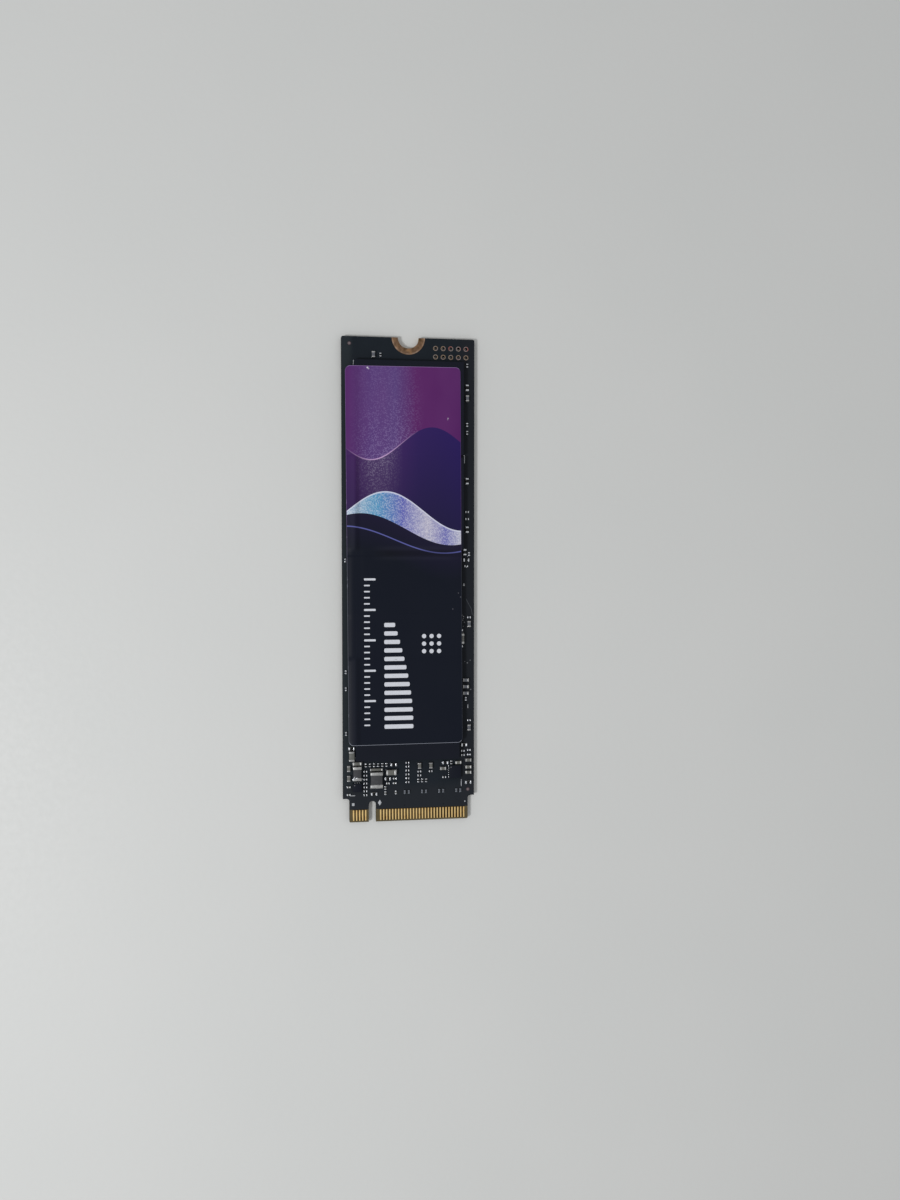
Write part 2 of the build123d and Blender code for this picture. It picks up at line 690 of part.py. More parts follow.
def add_left_margin():
    """Bypass capacitors under the label's drooping side."""
    lane_x = board_left + BYPASS_LANE_FROM_SIDE + SMALL_CAPACITOR.width / 2
    lane(lane_x, cache_high, CACHE_LEFT_LANE)
    lane(lane_x, controller_high, CONTROLLER_LEFT_LANE)


def add_top_margin():
    """Two parts between the memory and the screw seat."""
    row_y = memory_upper_high + TOP_ROW_TO_MEMORY + MEDIUM_CAPACITOR.length / 2
    row(memory_left, row_y, TOP_ROW)


# Labels

def front_label():
    """Thin film on the packages; past their left side it droops along an arc."""
    low = controller_low + LABEL_BOTTOM_SETBACK
    high = memory_upper_high - LABEL_TOP_SETBACK
    top = package_top + LABEL_THICKNESS
    flat = block(memory_left, memory_left + board_width, board_edge, board_end, package_top, top)
    outer = LABEL_DROOP_RADIUS + LABEL_THICKNESS
    ring = Circle(outer) - Circle(LABEL_DROOP_RADIUS)
    left_quarter = Pos(-outer / 2, outer / 2) * Rectangle(outer, outer)
    bend = Plane.XZ * (Pos(memory_left, top - outer) * (ring & left_quarter))
    sheet = flat + extrude(bend, board_end, both=True)
    outline = RectangleRounded(LABEL_WIDTH, high - low, LABEL_CORNER)
    place = Pos(memory_middle + LABEL_SHIFT, (low + high) / 2) * Rot(0, 0, LABEL_TWIST)
    return sheet & extrude(place * outline, top)


def back_label():
    """A plain label over most of the card's back."""
    low = shoulder_y + BACK_LABEL_TO_SHOULDER
    high = board_end - SCREW_PAD_RADIUS - BACK_LABEL_TO_PAD
    width = board_width - 2 * BACK_LABEL_SIDE_MARGIN
    outline = Pos(0, (low + high) / 2) * RectangleRounded(width, high - low, BACK_LABEL_CORNER)
    return extrude(outline, BACK_LABEL_THICKNESS)


def header_pads():
    """The spare header's plated holes."""
    return [plated_hole(x, y, HEADER_HOLE_RADIUS, HEADER_PAD_RADIUS) for x, y in header_places()]


nodes["circuit_board"] = [circuit_board()]
add_contacts()
nodes["screw_seat"] = screw_seat()
nodes["header_pads"] = header_pads()
nodes["alignment_dots"] = alignment_dots()
add_packages()
add_left_corner()
add_left_supply()
add_middle_supply()
add_right_supply()
add_right_margin()
add_left_margin()
add_top_margin()
nodes["front_label"] = [front_label()]
nodes["back_label"] = [back_label()]

os.makedirs("parts", exist_ok=True)
for name, shapes in nodes.items():
    solids = [solid for shape in shapes for solid in shape.solids()]
    whole = solids[0] if len(solids) == 1 else Compound(children=solids)
    whole.label = name
    export_step(whole, f"parts/{name}.step")
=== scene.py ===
"""The looks of an M.2 solid-state drive that lies on a pale table, seen from above.

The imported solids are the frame. The board, pads, packages and back label keep their solids and get
a finish; contacts, chip parts, power chips, solder balls and the front label are rebuilt in finer
detail in the same places. Shapes are made in millimetres and brought to metres when a piece is
finished.
"""

import json
import math

import bmesh
import bpy
import numpy as np
from mathutils import Matrix, Vector, noise


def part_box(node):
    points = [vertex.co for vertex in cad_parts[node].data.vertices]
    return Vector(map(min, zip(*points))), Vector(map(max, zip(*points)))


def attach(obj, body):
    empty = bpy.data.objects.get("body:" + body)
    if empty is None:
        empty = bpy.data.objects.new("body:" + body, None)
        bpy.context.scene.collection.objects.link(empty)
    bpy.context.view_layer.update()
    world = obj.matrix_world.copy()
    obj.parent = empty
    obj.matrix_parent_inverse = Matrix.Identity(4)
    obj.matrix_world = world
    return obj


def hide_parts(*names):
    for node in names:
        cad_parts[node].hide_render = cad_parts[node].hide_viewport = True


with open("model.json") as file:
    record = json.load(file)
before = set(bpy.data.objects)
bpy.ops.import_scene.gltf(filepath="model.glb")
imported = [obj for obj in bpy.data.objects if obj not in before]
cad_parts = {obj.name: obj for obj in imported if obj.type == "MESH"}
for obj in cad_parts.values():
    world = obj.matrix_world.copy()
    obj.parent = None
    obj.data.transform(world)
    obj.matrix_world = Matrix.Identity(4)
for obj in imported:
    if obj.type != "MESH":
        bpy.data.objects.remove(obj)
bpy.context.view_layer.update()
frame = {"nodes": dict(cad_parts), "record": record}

MM = 0.001

# Camera: its place, the point that it looks at, its focal length in pixels of a 900 by 1200 picture,
# its sensor's width and the nearest distance that it sees
CAMERA_PLACE = (-19.43, 4.25, 173.91)
CAMERA_AIM = (6.92, -3.11, 0.9)
FOCAL_PIXELS = 1050
PICTURE_HEIGHT = 1200
SENSOR = 36.0
CLIP_START = 5.0

# Light: an even room, and a lamp beyond the card's left side, towards the connector
LAMP_PLACE = (-240.0, -100.0, 330.0)
LAMP_SIZE = 70.0
LAMP_POWER = 0.88
ROOM_LEVEL = 0.6
FLOOR_SIZE = 3000.0
FLOOR_DROP = 0.02

# Gold contacts: their pitch, how far out from a contact's middle the painted shade on its sides begins,
# the length of the painted shadow at its top end, and its edges' rounding
CONTACT_PITCH = 0.5
CONTACT_SIDE = 0.11
CONTACT_END = 0.1
CONTACT_ROUNDING = 0.014

# Board and packages: the notch's plated wall, the pale rim in from the screw seat's edge, the strips of
# mask with painted light on them (lighter at the left side and the connector end, greyer at the right),
# and the substrate under the mould compound
NOTCH_REACH = 1.8
SEAT_RIM_START = 0.02
SEAT_RIM_END = 0.2
PAINTED_LIGHT_LEFT = 1.6
PAINTED_FALLOFF_RIGHT = 2.4
PAINTED_LIGHT_END = 6.0
SUBSTRATE_THICKNESS = 0.24

# Front label: its turn on the card, corners, pale border and how far that sinks, the droop at the left,
# the print's height, the room over it and the film's clearance over the packages
LABEL_TWIST = math.radians(0.35)
LABEL_CORNER = 0.8
LABEL_BORDER = 0.06
LABEL_SINK = 0.012
LABEL_DROOP_RADIUS = 3.1
PRINT_RISE = 0.006
PRINT_ROOM = 0.001
FILM_CLEARANCE = 0.004

# Dust and scuffs on the label: place, radius and how plainly each shows
LABEL_FLECKS = [
    (-6.82, 34.76, 0.14, 0.75),
    (-6.62, 34.58, 0.09, 0.6),
    (6.4, 26.81, 0.11, 0.35),
    (6.34, 26.6, 0.08, 0.25),
    (8.13, -1.91, 0.07, 0.16),
    (8.5, -2.57, 0.09, 0.12),
    (7.19, -4.55, 0.08, 0.14),
]
# Specks on the solder mask: place, radius and how plainly each shows
BOARD_FLECKS = [
    (8.95, -5.67, 0.08, 0.45),
    (9.22, -5.89, 0.09, 0.6),
    (9.17, -6.24, 0.07, 0.5),
    (9.08, -6.51, 0.07, 0.45),
    (9.37, -6.86, 0.08, 0.45),
    (9.17, -7.55, 0.07, 0.35),
    (9.42, -13.45, 0.07, 0.3),
    (9.86, -13.67, 0.1, 0.35),
    (10.34, -13.24, 0.08, 0.3),
    (10.44, -18.15, 0.09, 0.35),
]
FLECK_SOFTNESS = 0.09
# A scratch in the solder mask at the card's right side
BOARD_SCRATCH = [(9.65, -2.95), (10.0, -3.65), (10.52, -4.6), (10.7, -5.61)]
SCRATCH_WIDTH = 0.06


def srgb(red, green, blue):
    """A colour given in screen values from 0 to 255, as linear light."""
    def linear(value):
        value /= 255
        return value / 12.92 if value <= 0.04045 else ((value + 0.055) / 1.055) ** 2.4
    return (linear(red), linear(green), linear(blue), 1.0)


# Materials

class Look:
    """A procedural material in the making. Places in it are in millimetres."""

    def __init__(self, name, **sockets):
        self.material = bpy.data.materials.new(name)
        self.material.use_nodes = True
        self.tree = self.material.node_tree
        self.shader = self.tree.nodes["Principled BSDF"]
        place = self.node("ShaderNodeTexCoord").outputs["Object"]
        scale = self.node("ShaderNodeVectorMath", operation="SCALE")
        scale.inputs["Scale"].default_value = 1 / MM
        self.feed(scale.inputs[0], place)
        self.place = scale.outputs[0]
        split = self.node("ShaderNodeSeparateXYZ")
        self.feed(split.inputs[0], self.place)
        self.x, self.y, self.z = split.outputs
        for socket, value in sockets.items():
            self.set(socket.replace("_", " "), value)

    def node(self, kind, **settings):
        made = self.tree.nodes.new(kind)
        for key, value in settings.items():
            setattr(made, key, value)
        return made

    def feed(self, socket, value):
        """Link a socket to another node's output, or give it a plain value."""
        if isinstance(value, bpy.types.NodeSocket):
            self.tree.links.new(value, socket)
        else:
            socket.default_value = value

    def set(self, name, value):
        self.feed(self.shader.inputs[name], value)

    def calc(self, operation, first, second=0.0, clamp=False):
        made = self.node("ShaderNodeMath", operation=operation, use_clamp=clamp)
        self.feed(made.inputs[0], first)
        self.feed(made.inputs[1], second)
        return made.outputs[0]

    def times(self, first, second):
        return self.calc("MULTIPLY", first, second)

    def step(self, value, edge, soft):
        """0 well below the edge and 1 well above it, over a soft width."""
        rise = self.calc("DIVIDE", self.calc("SUBTRACT", value, edge), soft)
        return self.calc("ADD", rise, 0.5, clamp=True)

    def within(self, value, low, high, soft):
        """1 between two edges and 0 outside them."""
        return self.times(self.step(value, low, soft), self.step(high, value, soft))

    def mix(self, factor, first, second):
        made = self.node("ShaderNodeMix", data_type="RGBA")
        self.feed(made.inputs[0], factor)
        self.feed(made.inputs[6], first)
        self.feed(made.inputs[7], second)
        return made.outputs[2]

    def tint(self, colour, share, strength, other):
        """Let another colour through where a share is above 0, up to a strength."""
        return self.mix(self.times(share, strength), colour, other)

    def ramp(self, value, low, high, *stops):
        """Colours spread over a range of values; each stop is a share of it and a colour."""
        share = self.calc("DIVIDE", self.calc("SUBTRACT", value, low), high - low)
        made = self.node("ShaderNodeValToRGB")
        elements = made.color_ramp.elements
        while len(elements) < len(stops):
            elements.new(1.0)
        for element, (position, colour) in zip(elements, stops):
            element.position = position
            element.color = colour
        self.feed(made.inputs[0], share)
        return made.outputs[0]

    def range(self, value, low, high, to_low, to_high):
        made = self.node("ShaderNodeMapRange")
        for socket, number in zip(made.inputs, (value, low, high, to_low, to_high)):
            self.feed(socket, number)
        return made.outputs[0]

    def noise(self, size, detail=2.0, along=1.0):
        """Even noise between 0 and 1 with features of about the given size, or longer along the card."""
        scaled = self.node("ShaderNodeVectorMath", operation="MULTIPLY")
        self.feed(scaled.inputs[0], self.place)
        self.feed(scaled.inputs[1], (1.0, along, 1.0))
        made = self.node("ShaderNodeTexNoise")
        self.feed(made.inputs["Vector"], scaled.outputs[0])
        made.inputs["Scale"].default_value = 1 / size
        made.inputs["Detail"].default_value = detail
        return made.outputs[0]

    def cells(self, size):
        """A value between 0 and 1 of its own for each small cell of about the given size."""
        made = self.node("ShaderNodeTexVoronoi")
        self.feed(made.inputs["Vector"], self.place)
        made.inputs["Scale"].default_value = 1 / size
        split = self.node("ShaderNodeSeparateColor")
        self.feed(split.inputs[0], made.outputs["Color"])
        return split.outputs[0]

    def distance(self, x, y):
        """How far a place on the card is from a point."""
        across = self.calc("SUBTRACT", self.x, x)
        along = self.calc("SUBTRACT", self.y, y)
        squares = self.calc("ADD", self.times(across, across), self.times(along, along))
        return self.calc("SQRT", squares)

    def streak(self, start, end, width):
        """1 along a thin straight line on the card and 0 beside it."""
        start, end = Vector(start), Vector(end)
        length = (end - start).length
        run = (end - start) / length
        across = self.calc("SUBTRACT", self.x, start.x)
        along = self.calc("SUBTRACT", self.y, start.y)
        down = self.calc("ADD", self.times(across, run.x), self.times(along, run.y))
        aside = self.calc("SUBTRACT", self.times(across, run.y), self.times(along, run.x))
        beside = self.within(aside, -width / 2, width / 2, width / 2)
        return self.times(self.within(down, 0.0, length, width), beside)

    def facing(self):
        """The surface's own direction, as three sockets."""
        split = self.node("ShaderNodeSeparateXYZ")
        self.feed(split.inputs[0], self.node("ShaderNodeNewGeometry").outputs["Normal"])
        return split.outputs

    def bump(self, height, depth):
        """Raise the surface by a height from 0 to 1, times a depth in millimetres."""
        made = self.node("ShaderNodeBump")
        made.inputs["Strength"].default_value = 1.0
        made.inputs["Distance"].default_value = depth * MM
        self.feed(made.inputs["Height"], height)
        self.set("Normal", made.outputs[0])

    def grained(self, colour, grain, first, second, depth):
        """The material in a colour, with a noise that spreads its roughness and raises its surface."""
        self.set("Base Color", colour)
        self.set("Roughness", self.range(grain, 0.3, 0.7, first, second))
        self.bump(grain, depth)
        return self.material


def gold_look(name, middle, top):
    """Gold plate on a row of contacts: brushed lines, handled patches, and painted shade on the sides and
    top ends.
    """
    look = Look(name, Metallic=1.0)
    brushed = look.noise(0.05, 3.0, 0.06)
    patches = look.noise(0.9, 3.0)
    wear = look.step(patches, 0.65, 0.3)
    plate_colour = look.mix(wear, srgb(238, 206, 142), srgb(196, 156, 94))
    aside = look.calc("PINGPONG", look.calc("SUBTRACT", look.x, middle), CONTACT_PITCH / 2)
    # Painted shade: the sides darken where rounded edges would reflect the darker room, and the top end
    # darkens in the thin shadow of the mask's edge
    shaded_sides = look.step(aside, CONTACT_SIDE, 0.05)
    shadowed_end = look.step(look.y, top - CONTACT_END, 0.06)
    border = look.calc("MAXIMUM", shaded_sides, shadowed_end)
    look.set("Base Color", look.tint(plate_colour, border, 0.94, srgb(54, 37, 16)))
    look.set("Roughness", look.range(look.calc("ADD", brushed, wear), 0.2, 1.6, 0.28, 0.55))
    look.bump(brushed, 0.003)
    return look.material


def dot_look():
    """Bare copper dots, grey in the middle and darkening to dull mauve towards the rim."""
    dots = solids_of("alignment_dots")
    radius = np.ptp(dots[0][:, 0]) / 2
    look = Look("bare_copper", Metallic=1.0)
    out = look.calc("MINIMUM", *(look.distance(*points.mean(0)[:2]) for points in dots))
    uneven = look.times(look.noise(0.2), 0.3 * radius)
    copper = look.ramp(look.calc("ADD", out, uneven), 0.1 * radius, 1.2 * radius,
                       (0.0, srgb(150, 142, 142)), (0.5, srgb(118, 106, 110)), (1.0, srgb(72, 58, 64)))
    return look.grained(copper, look.noise(0.06), 0.34, 0.52, 0.003)


def header_look():
    """Thin pale plate on the header's rings, tinted from ring to ring, and painted shade on the sleeves in
    their holes.
    """
    look = Look("header_plate", Metallic=1.0)
    tint = look.noise(1.4)
    plated = look.ramp(tint, 0.3, 0.7, (0.0, srgb(168, 108, 104)), (0.35, srgb(150, 142, 140)),
                       (0.65, srgb(152, 130, 110)), (1.0, srgb(154, 144, 136)))
    flat = look.step(look.calc("ABSOLUTE", look.facing()[2]), 0.5, 0.2)
    # Painted shade: the holes' walls get a dark brown that stands in for the shade inside the holes
    colour = look.mix(flat, srgb(34, 28, 22), plated)
    return look.grained(colour, look.noise(0.08), 0.3, 0.5, 0.003)


def seat_look():
    """Tarnished gold around the screw notch: brown and olive, pale in patches along its outer edge."""
    high = box_mm("screw_seat")[1]
    look = Look("seat_plate", Metallic=1.0)
    patches = look.noise(0.8, 3.0)
    tarnish = look.ramp(patches, 0.32, 0.68, (0.0, srgb(100, 78, 54)), (0.5, srgb(124, 98, 78)),
                        (1.0, srgb(158, 122, 88)))
    from_middle = look.distance(0.0, high.y)
    rim = look.within(from_middle, high.x - SEAT_RIM_END, high.x - SEAT_RIM_START, 0.12)
    pale_rim = look.times(rim, look.range(look.noise(0.9), 0.4, 0.62, 0.1, 0.75))
    colour = look.mix(pale_rim, tarnish, srgb(190, 164, 146))
    return look.grained(colour, look.noise(0.06), 0.32, 0.5, 0.003)


def tin_look(name, dull, bright, rough, smooth):
    """Tinned terminals and solder, a little uneven and grey in places."""
    look = Look(name, Metallic=1.0)
    patches = look.noise(0.6)
    look.set("Base Color", look.ramp(patches, 0.3, 0.7, (0.0, dull), (1.0, bright)))
    look.set("Roughness", look.range(patches, 0.3, 0.7, rough, smooth))
    look.bump(look.noise(0.09), 0.008)
    return look.material


def ceramic_look(name, dark, light, roughness, shine):
    """Fired ceramic with fine grain and faint mottling."""
    look = Look(name, Specular_IOR_Level=shine)
    grain = look.noise(0.035)
    mottle = look.noise(0.5)
    colour = look.mix(look.times(grain, mottle), dark, light)
    return look.grained(colour, grain, roughness - 0.08, roughness + 0.08, 0.004)


def resistor_look():
    """A black glaze on top of a pale ceramic chip whose sides stay bare."""
    look = Look("resistor_glaze", Specular_IOR_Level=0.15)
    grain = look.noise(0.04)
    upward = look.step(look.facing()[2], 0.6, 0.2)
    bare = look.mix(grain, srgb(132, 132, 128), srgb(170, 170, 164))
    glaze = look.mix(grain, srgb(10, 11, 13), srgb(22, 23, 26))
    look.set("Base Color", look.mix(upward, bare, glaze))
    look.set("Roughness", look.range(upward, 0.0, 1.0, 0.6, 0.34))
    look.bump(grain, 0.003)
    return look.material


def mould_look():
    """Dark mould compound with fine filler grain, over a thin substrate at the package's foot."""
    look = Look("mould_compound", Specular_IOR_Level=0.07)
    filler = look.noise(0.05)
    cloud = look.noise(3.0, 3.0)
    compound = look.mix(filler, srgb(15, 18, 26), srgb(23, 26, 36))
    compound = look.tint(compound, cloud, 0.35, srgb(27, 30, 40))
    substrate = look.mix(filler, srgb(22, 34, 26), srgb(34, 48, 36))
    foot = look.step(controller_low.z + SUBSTRATE_THICKNESS, look.z, 0.02)
    return look.grained(look.mix(foot, compound, substrate), filler, 0.48, 0.62, 0.006)


def board_look():
    """Black solder mask on both faces, bare laminate at the contacts and edges, plating in the notch."""
    front_low, front_high = box_mm("front_contacts")
    back_high = box_mm("back_contacts")[1]
    middle_z = (board_low.z + board_high.z) / 2
    look = Look("solder_mask_board", Specular_IOR_Level=0.08)
    weave = look.noise(0.16, 2.0, 0.35)
    cloud = look.noise(2.4, 3.0)
    fine = look.noise(0.05)
    mask = look.mix(cloud, srgb(22, 28, 34), srgb(28, 34, 41))
    # Painted light: the mask is lighter along the left side and towards the connector end, and greyer
    # along the right side, as the lamp's light falls off across the card
    mask = look.tint(mask, look.step(board_low.x + PAINTED_LIGHT_LEFT, look.x, 0.8), 0.8, srgb(38, 44, 48))
    mask = look.tint(mask, look.step(look.x, board_high.x - PAINTED_FALLOFF_RIGHT, 0.8), 0.7, srgb(29, 31, 36))
    mask = look.tint(mask, look.step(board_low.y + PAINTED_LIGHT_END, look.y, 1.5), 0.7, srgb(34, 37, 42))
    on_front = look.step(look.z, middle_z, 0.1)
    on_back = look.calc("SUBTRACT", 1.0, on_front)
    for start, end in zip(BOARD_SCRATCH, BOARD_SCRATCH[1:]):
        scratch = look.times(look.streak(start, end, SCRATCH_WIDTH), on_front)
        mask = look.tint(mask, scratch, 0.7, srgb(86, 90, 96))
    for x, y, radius, shown in BOARD_FLECKS:
        fleck = look.times(look.step(radius, look.distance(x, y), FLECK_SOFTNESS), on_front)
        mask = look.tint(mask, fleck, shown, srgb(170, 172, 178))
    laminate = look.mix(weave, srgb(72, 64, 45), srgb(96, 86, 62))
    shaded = look.mix(weave, srgb(18, 11, 3), srgb(38, 25, 9))
    above_edge = look.step(look.y, front_low.y, 0.05)
    contacts = contact_places()
    key = max(range(1, len(contacts)), key=lambda index: contacts[index] - contacts[index - 1])
    for group in (contacts[:key], contacts[key:]):
        among = look.times(look.within(look.x, group[0], group[-1], 0.05), above_edge)
        laminate = look.mix(among, laminate, shaded)
    edge = look.mix(weave, srgb(34, 29, 21), srgb(66, 55, 39))
    plating = look.mix(cloud, srgb(128, 102, 66), srgb(170, 142, 98))
    front_bare = look.times(look.step(front_high.y, look.y, 0.03), on_front)
    back_bare = look.times(look.step(back_high.y, look.y, 0.03), on_back)
    bare = look.calc("ADD", front_bare, back_bare, clamp=True)
    colour = look.mix(bare, mask, laminate)
    flat = look.step(look.calc("ABSOLUTE", look.facing()[2]), 0.5, 0.2)
    in_notch = look.step(NOTCH_REACH, look.distance(0.0, board_high.y), 0.02)
    wall = look.mix(in_notch, edge, plating)
    look.set("Base Color", look.mix(flat, wall, colour))
    look.set("Metallic", look.times(in_notch, look.calc("SUBTRACT", 1.0, flat)))
    look.set("Roughness", look.range(look.calc("ADD", cloud, bare), 0.3, 1.6, 0.46, 0.7))
    look.bump(look.calc("ADD", look.times(weave, 0.6), fine), 0.004)
    return look.material


def ink_look(name, colour, worn):
    """Screen-printed white ink, thin enough to let some of the ground through."""
    look = Look(name)
    thin = look.noise(0.12, 3.0)
    return look.grained(look.mix(look.step(thin, 0.6, 0.3), colour, worn), thin, 0.5, 0.68, 0.003)


# Printed film: the span that its colours run over, its glitter's size and reach, and the bands of painted
# sheen that hold most of its glitter, over the magenta field and over the indigo field
PRINT_SPAN = (-10.3, 8.7)
GLITTER_SIZE = 0.13
GLITTER_REACH = 9.0
MAGENTA_SHEEN_BAND = (-8.0, 0.5)
INDIGO_SHEEN_BAND = (-7.5, -2.5)
# Lengths over which the indigo darkens and the crest's glow fades, and where the painted highlight on the
# upper line peaks and fades
DEEP_FADE = 13.0
GLOW_FADE = 6.0
SHINE_MIDDLE = -4.5
SHINE_FADE = 6.0
# Wavy lines of the print: mean place along the card, swing, pace across it and phase; then the softness
# of colour edges and the widths of fine lines
UPPER_WAVE = (22.6, 2.7, 0.31, 0.4)
CREST_TOP_WAVE = (11.6, 3.2, 0.25, 2.55)
CREST_LOW_WAVE = (8.6, 2.6, 0.21, 3.25)
ECHO_WAVE = (6.9, 2.2, 0.19, 3.6)
PRINT_SOFTNESS = 0.04
LINE_HALF_WIDTH = 0.09
ECHO_HALF_WIDTH = 0.1
RIM_WIDTH = 0.22
# Painted shade and highlights at folds in the film: where the shaded dip and each shaded fold lie past a
# package's left edge, and the width of the shoulders and ridges that get painted highlights
DIP_INSET = 2.5
FOLD_START = 0.1
FOLD_END = 0.8
SHOULDER_WIDTH = 0.6
# Cut edge of the film: how far in the clean ends reach, and where its ground turns violet
CLEAN_LOW_END = 0.5
CLEAN_TOP_END = 0.3
VIOLET_FROM = 8.0
VIOLET_FADE = 12.0


def past_wave(look, base, swing, pace, phase):
    """How far up the card a place is from a wavy line across it."""
    angle = look.calc("ADD", look.times(look.x, pace), phase)
    line = look.calc("ADD", look.times(look.calc("SINE", angle), swing), base)
    return look.calc("SUBTRACT", look.y, line)


def painted_crease_shading(look, colour):
    """Painted shade in the film's folds at the packages' edges: darker dips and folds, each with a painted
    highlight on a shoulder beside it.
    """
    # Colours of the painted shade in dips and folds and of the painted highlights on shoulders and ridges
    dark = srgb(0, 0, 0)
    lit = srgb(150, 150, 164)
    over_cache = look.within(look.x, cache_low.x + DIP_INSET, cache_high.x, 3.0)
    dip = look.within(look.y, cache_high.y, lower_low.y, 0.5)
    shoulders = look.within(look.y, cache_high.y - SHOULDER_WIDTH, lower_low.y + SHOULDER_WIDTH, 0.5)
    colour = look.tint(colour, look.times(shoulders, over_cache), 0.012, lit)
    colour = look.tint(colour, look.times(dip, over_cache), 0.4, dark)
    folds = ((lower_low, lower_high, 0.26), (upper_low, upper_high, 0.06),
             (controller_low, controller_high, 0.2))
    for low, high, strength in folds:
        beside = look.within(look.y, low.y, high.y, 0.6)
        fold = look.within(look.x, low.x + FOLD_START, low.x + FOLD_END, 0.4)
        ridge = look.within(look.x, low.x - SHOULDER_WIDTH, low.x, 0.3)
        colour = look.tint(colour, look.times(ridge, beside), strength * 0.07, lit)
        colour = look.tint(colour, look.times(fold, beside), strength, dark)
    return colour


def film_look():
    """Satin film printed with wide waves: magenta over indigo, an icy crest, then navy, with painted sheen
    in lilac and grey on its left part.
    """
    look = Look("label_film", Specular_IOR_Level=0.065)
    dots = look.noise(0.11, 1.0)
    cloud = look.noise(5.0, 2.0, 0.45)

    past_upper = past_wave(look, *UPPER_WAVE)
    past_crest_top = past_wave(look, *CREST_TOP_WAVE)
    past_crest_low = past_wave(look, *CREST_LOW_WAVE)
    past_echo = past_wave(look, *ECHO_WAVE)

    glitter = look.cells(GLITTER_SIZE)
    sparkle = look.step(glitter, 0.74, 0.1)
    near_line = look.range(look.calc("ABSOLUTE", past_upper), 0.0, GLITTER_REACH, 1.0, 0.35)
    # Magenta print; the lilac stops in the middle of this ramp are painted sheen
    sky = look.ramp(look.x, *PRINT_SPAN,
                    (0.0, srgb(77, 34, 94)), (0.22, srgb(84, 60, 117)), (0.42, srgb(86, 64, 119)),
                    (0.6, srgb(86, 36, 95)), (1.0, srgb(80, 33, 92)))
    sky = look.tint(sky, look.step(cloud, 0.55, 0.5), 0.2, srgb(110, 64, 120))
    # Painted glints: the glitter shows as pale dots only inside the sheen band, most near the upper line
    sky_sheen = look.times(look.within(look.x, *MAGENTA_SHEEN_BAND, 4.0), near_line)
    sky = look.tint(sky, look.times(sparkle, sky_sheen), 0.42, srgb(150, 132, 180))
    deep = look.ramp(look.x, *PRINT_SPAN,
                     (0.0, srgb(60, 30, 84)), (0.3, srgb(66, 40, 92)), (0.62, srgb(48, 32, 88)),
                     (1.0, srgb(40, 28, 86)))
    depth = look.calc("DIVIDE", past_upper, -DEEP_FADE)
    deep = look.tint(deep, depth, 0.7, srgb(30, 27, 58))
    fading = look.range(depth, 0.0, 0.7, 1.0, 0.0)
    # Painted sheen: a grey haze over the indigo inside the sheen band, fading away from the upper line,
    # with painted glints
    painted_sheen = look.times(look.within(look.x, *INDIGO_SHEEN_BAND, 3.0), fading)
    deep = look.tint(deep, painted_sheen, 0.3, srgb(92, 84, 112))
    deep = look.tint(deep, look.times(sparkle, painted_sheen), 0.45, srgb(144, 134, 160))
    ice = look.ramp(look.x, *PRINT_SPAN,
                    (0.0, srgb(178, 192, 204)), (0.25, srgb(84, 150, 186)), (0.48, srgb(96, 98, 172)),
                    (0.7, srgb(184, 180, 196)), (0.86, srgb(110, 108, 172)), (1.0, srgb(190, 190, 202)))
    ice = look.tint(ice, look.step(glitter, 0.66, 0.1), 0.36, srgb(212, 214, 226))
    ice = look.tint(ice, look.step(0.3, glitter, 0.1), 0.3, srgb(84, 104, 166))
    navy = look.mix(look.noise(6.0), srgb(17, 21, 32), srgb(20, 24, 34))
    glow = look.range(past_crest_low, 0.0, -GLOW_FADE, 0.5, 0.0)
    navy = look.mix(glow, navy, srgb(34, 27, 58))

    echo = look.within(past_echo, -ECHO_HALF_WIDTH, ECHO_HALF_WIDTH, 0.05)
    navy = look.tint(navy, echo, 0.8, srgb(96, 100, 168))
    colour = look.mix(look.step(past_crest_low, 0.0, PRINT_SOFTNESS), navy, ice)
    colour = look.mix(look.step(past_crest_top, 0.0, PRINT_SOFTNESS), colour, deep)
    rim = look.within(past_crest_top, -RIM_WIDTH, 0.0, 0.05)
    colour = look.tint(colour, rim, 0.8, srgb(208, 210, 226))
    colour = look.mix(look.step(past_upper, 0.0, PRINT_SOFTNESS), colour, sky)
    line = look.within(past_upper, -LINE_HALF_WIDTH, LINE_HALF_WIDTH, 0.06)
    # Painted highlight: the upper line shows pale only where the sheen band crosses it
    off_shine = look.calc("ABSOLUTE", look.calc("SUBTRACT", look.x, SHINE_MIDDLE))
    shine = look.range(off_shine, 0.0, SHINE_FADE, 0.75, 0.0)
    colour = look.tint(colour, line, shine, srgb(214, 176, 220))
    colour = painted_crease_shading(look, colour)
    for x, y, radius, shown in LABEL_FLECKS:
        fleck = look.step(radius, look.distance(x, y), FLECK_SOFTNESS)
        colour = look.tint(colour, fleck, shown, srgb(220, 216, 226))
    look.set("Base Color", colour)
    look.set("Roughness", look.range(look.calc("ADD", dots, cloud), 0.6, 1.4, 0.36, 0.48))
    look.bump(look.calc("ADD", dots, look.noise(0.03, 1.0)), 0.003)
    return look.material


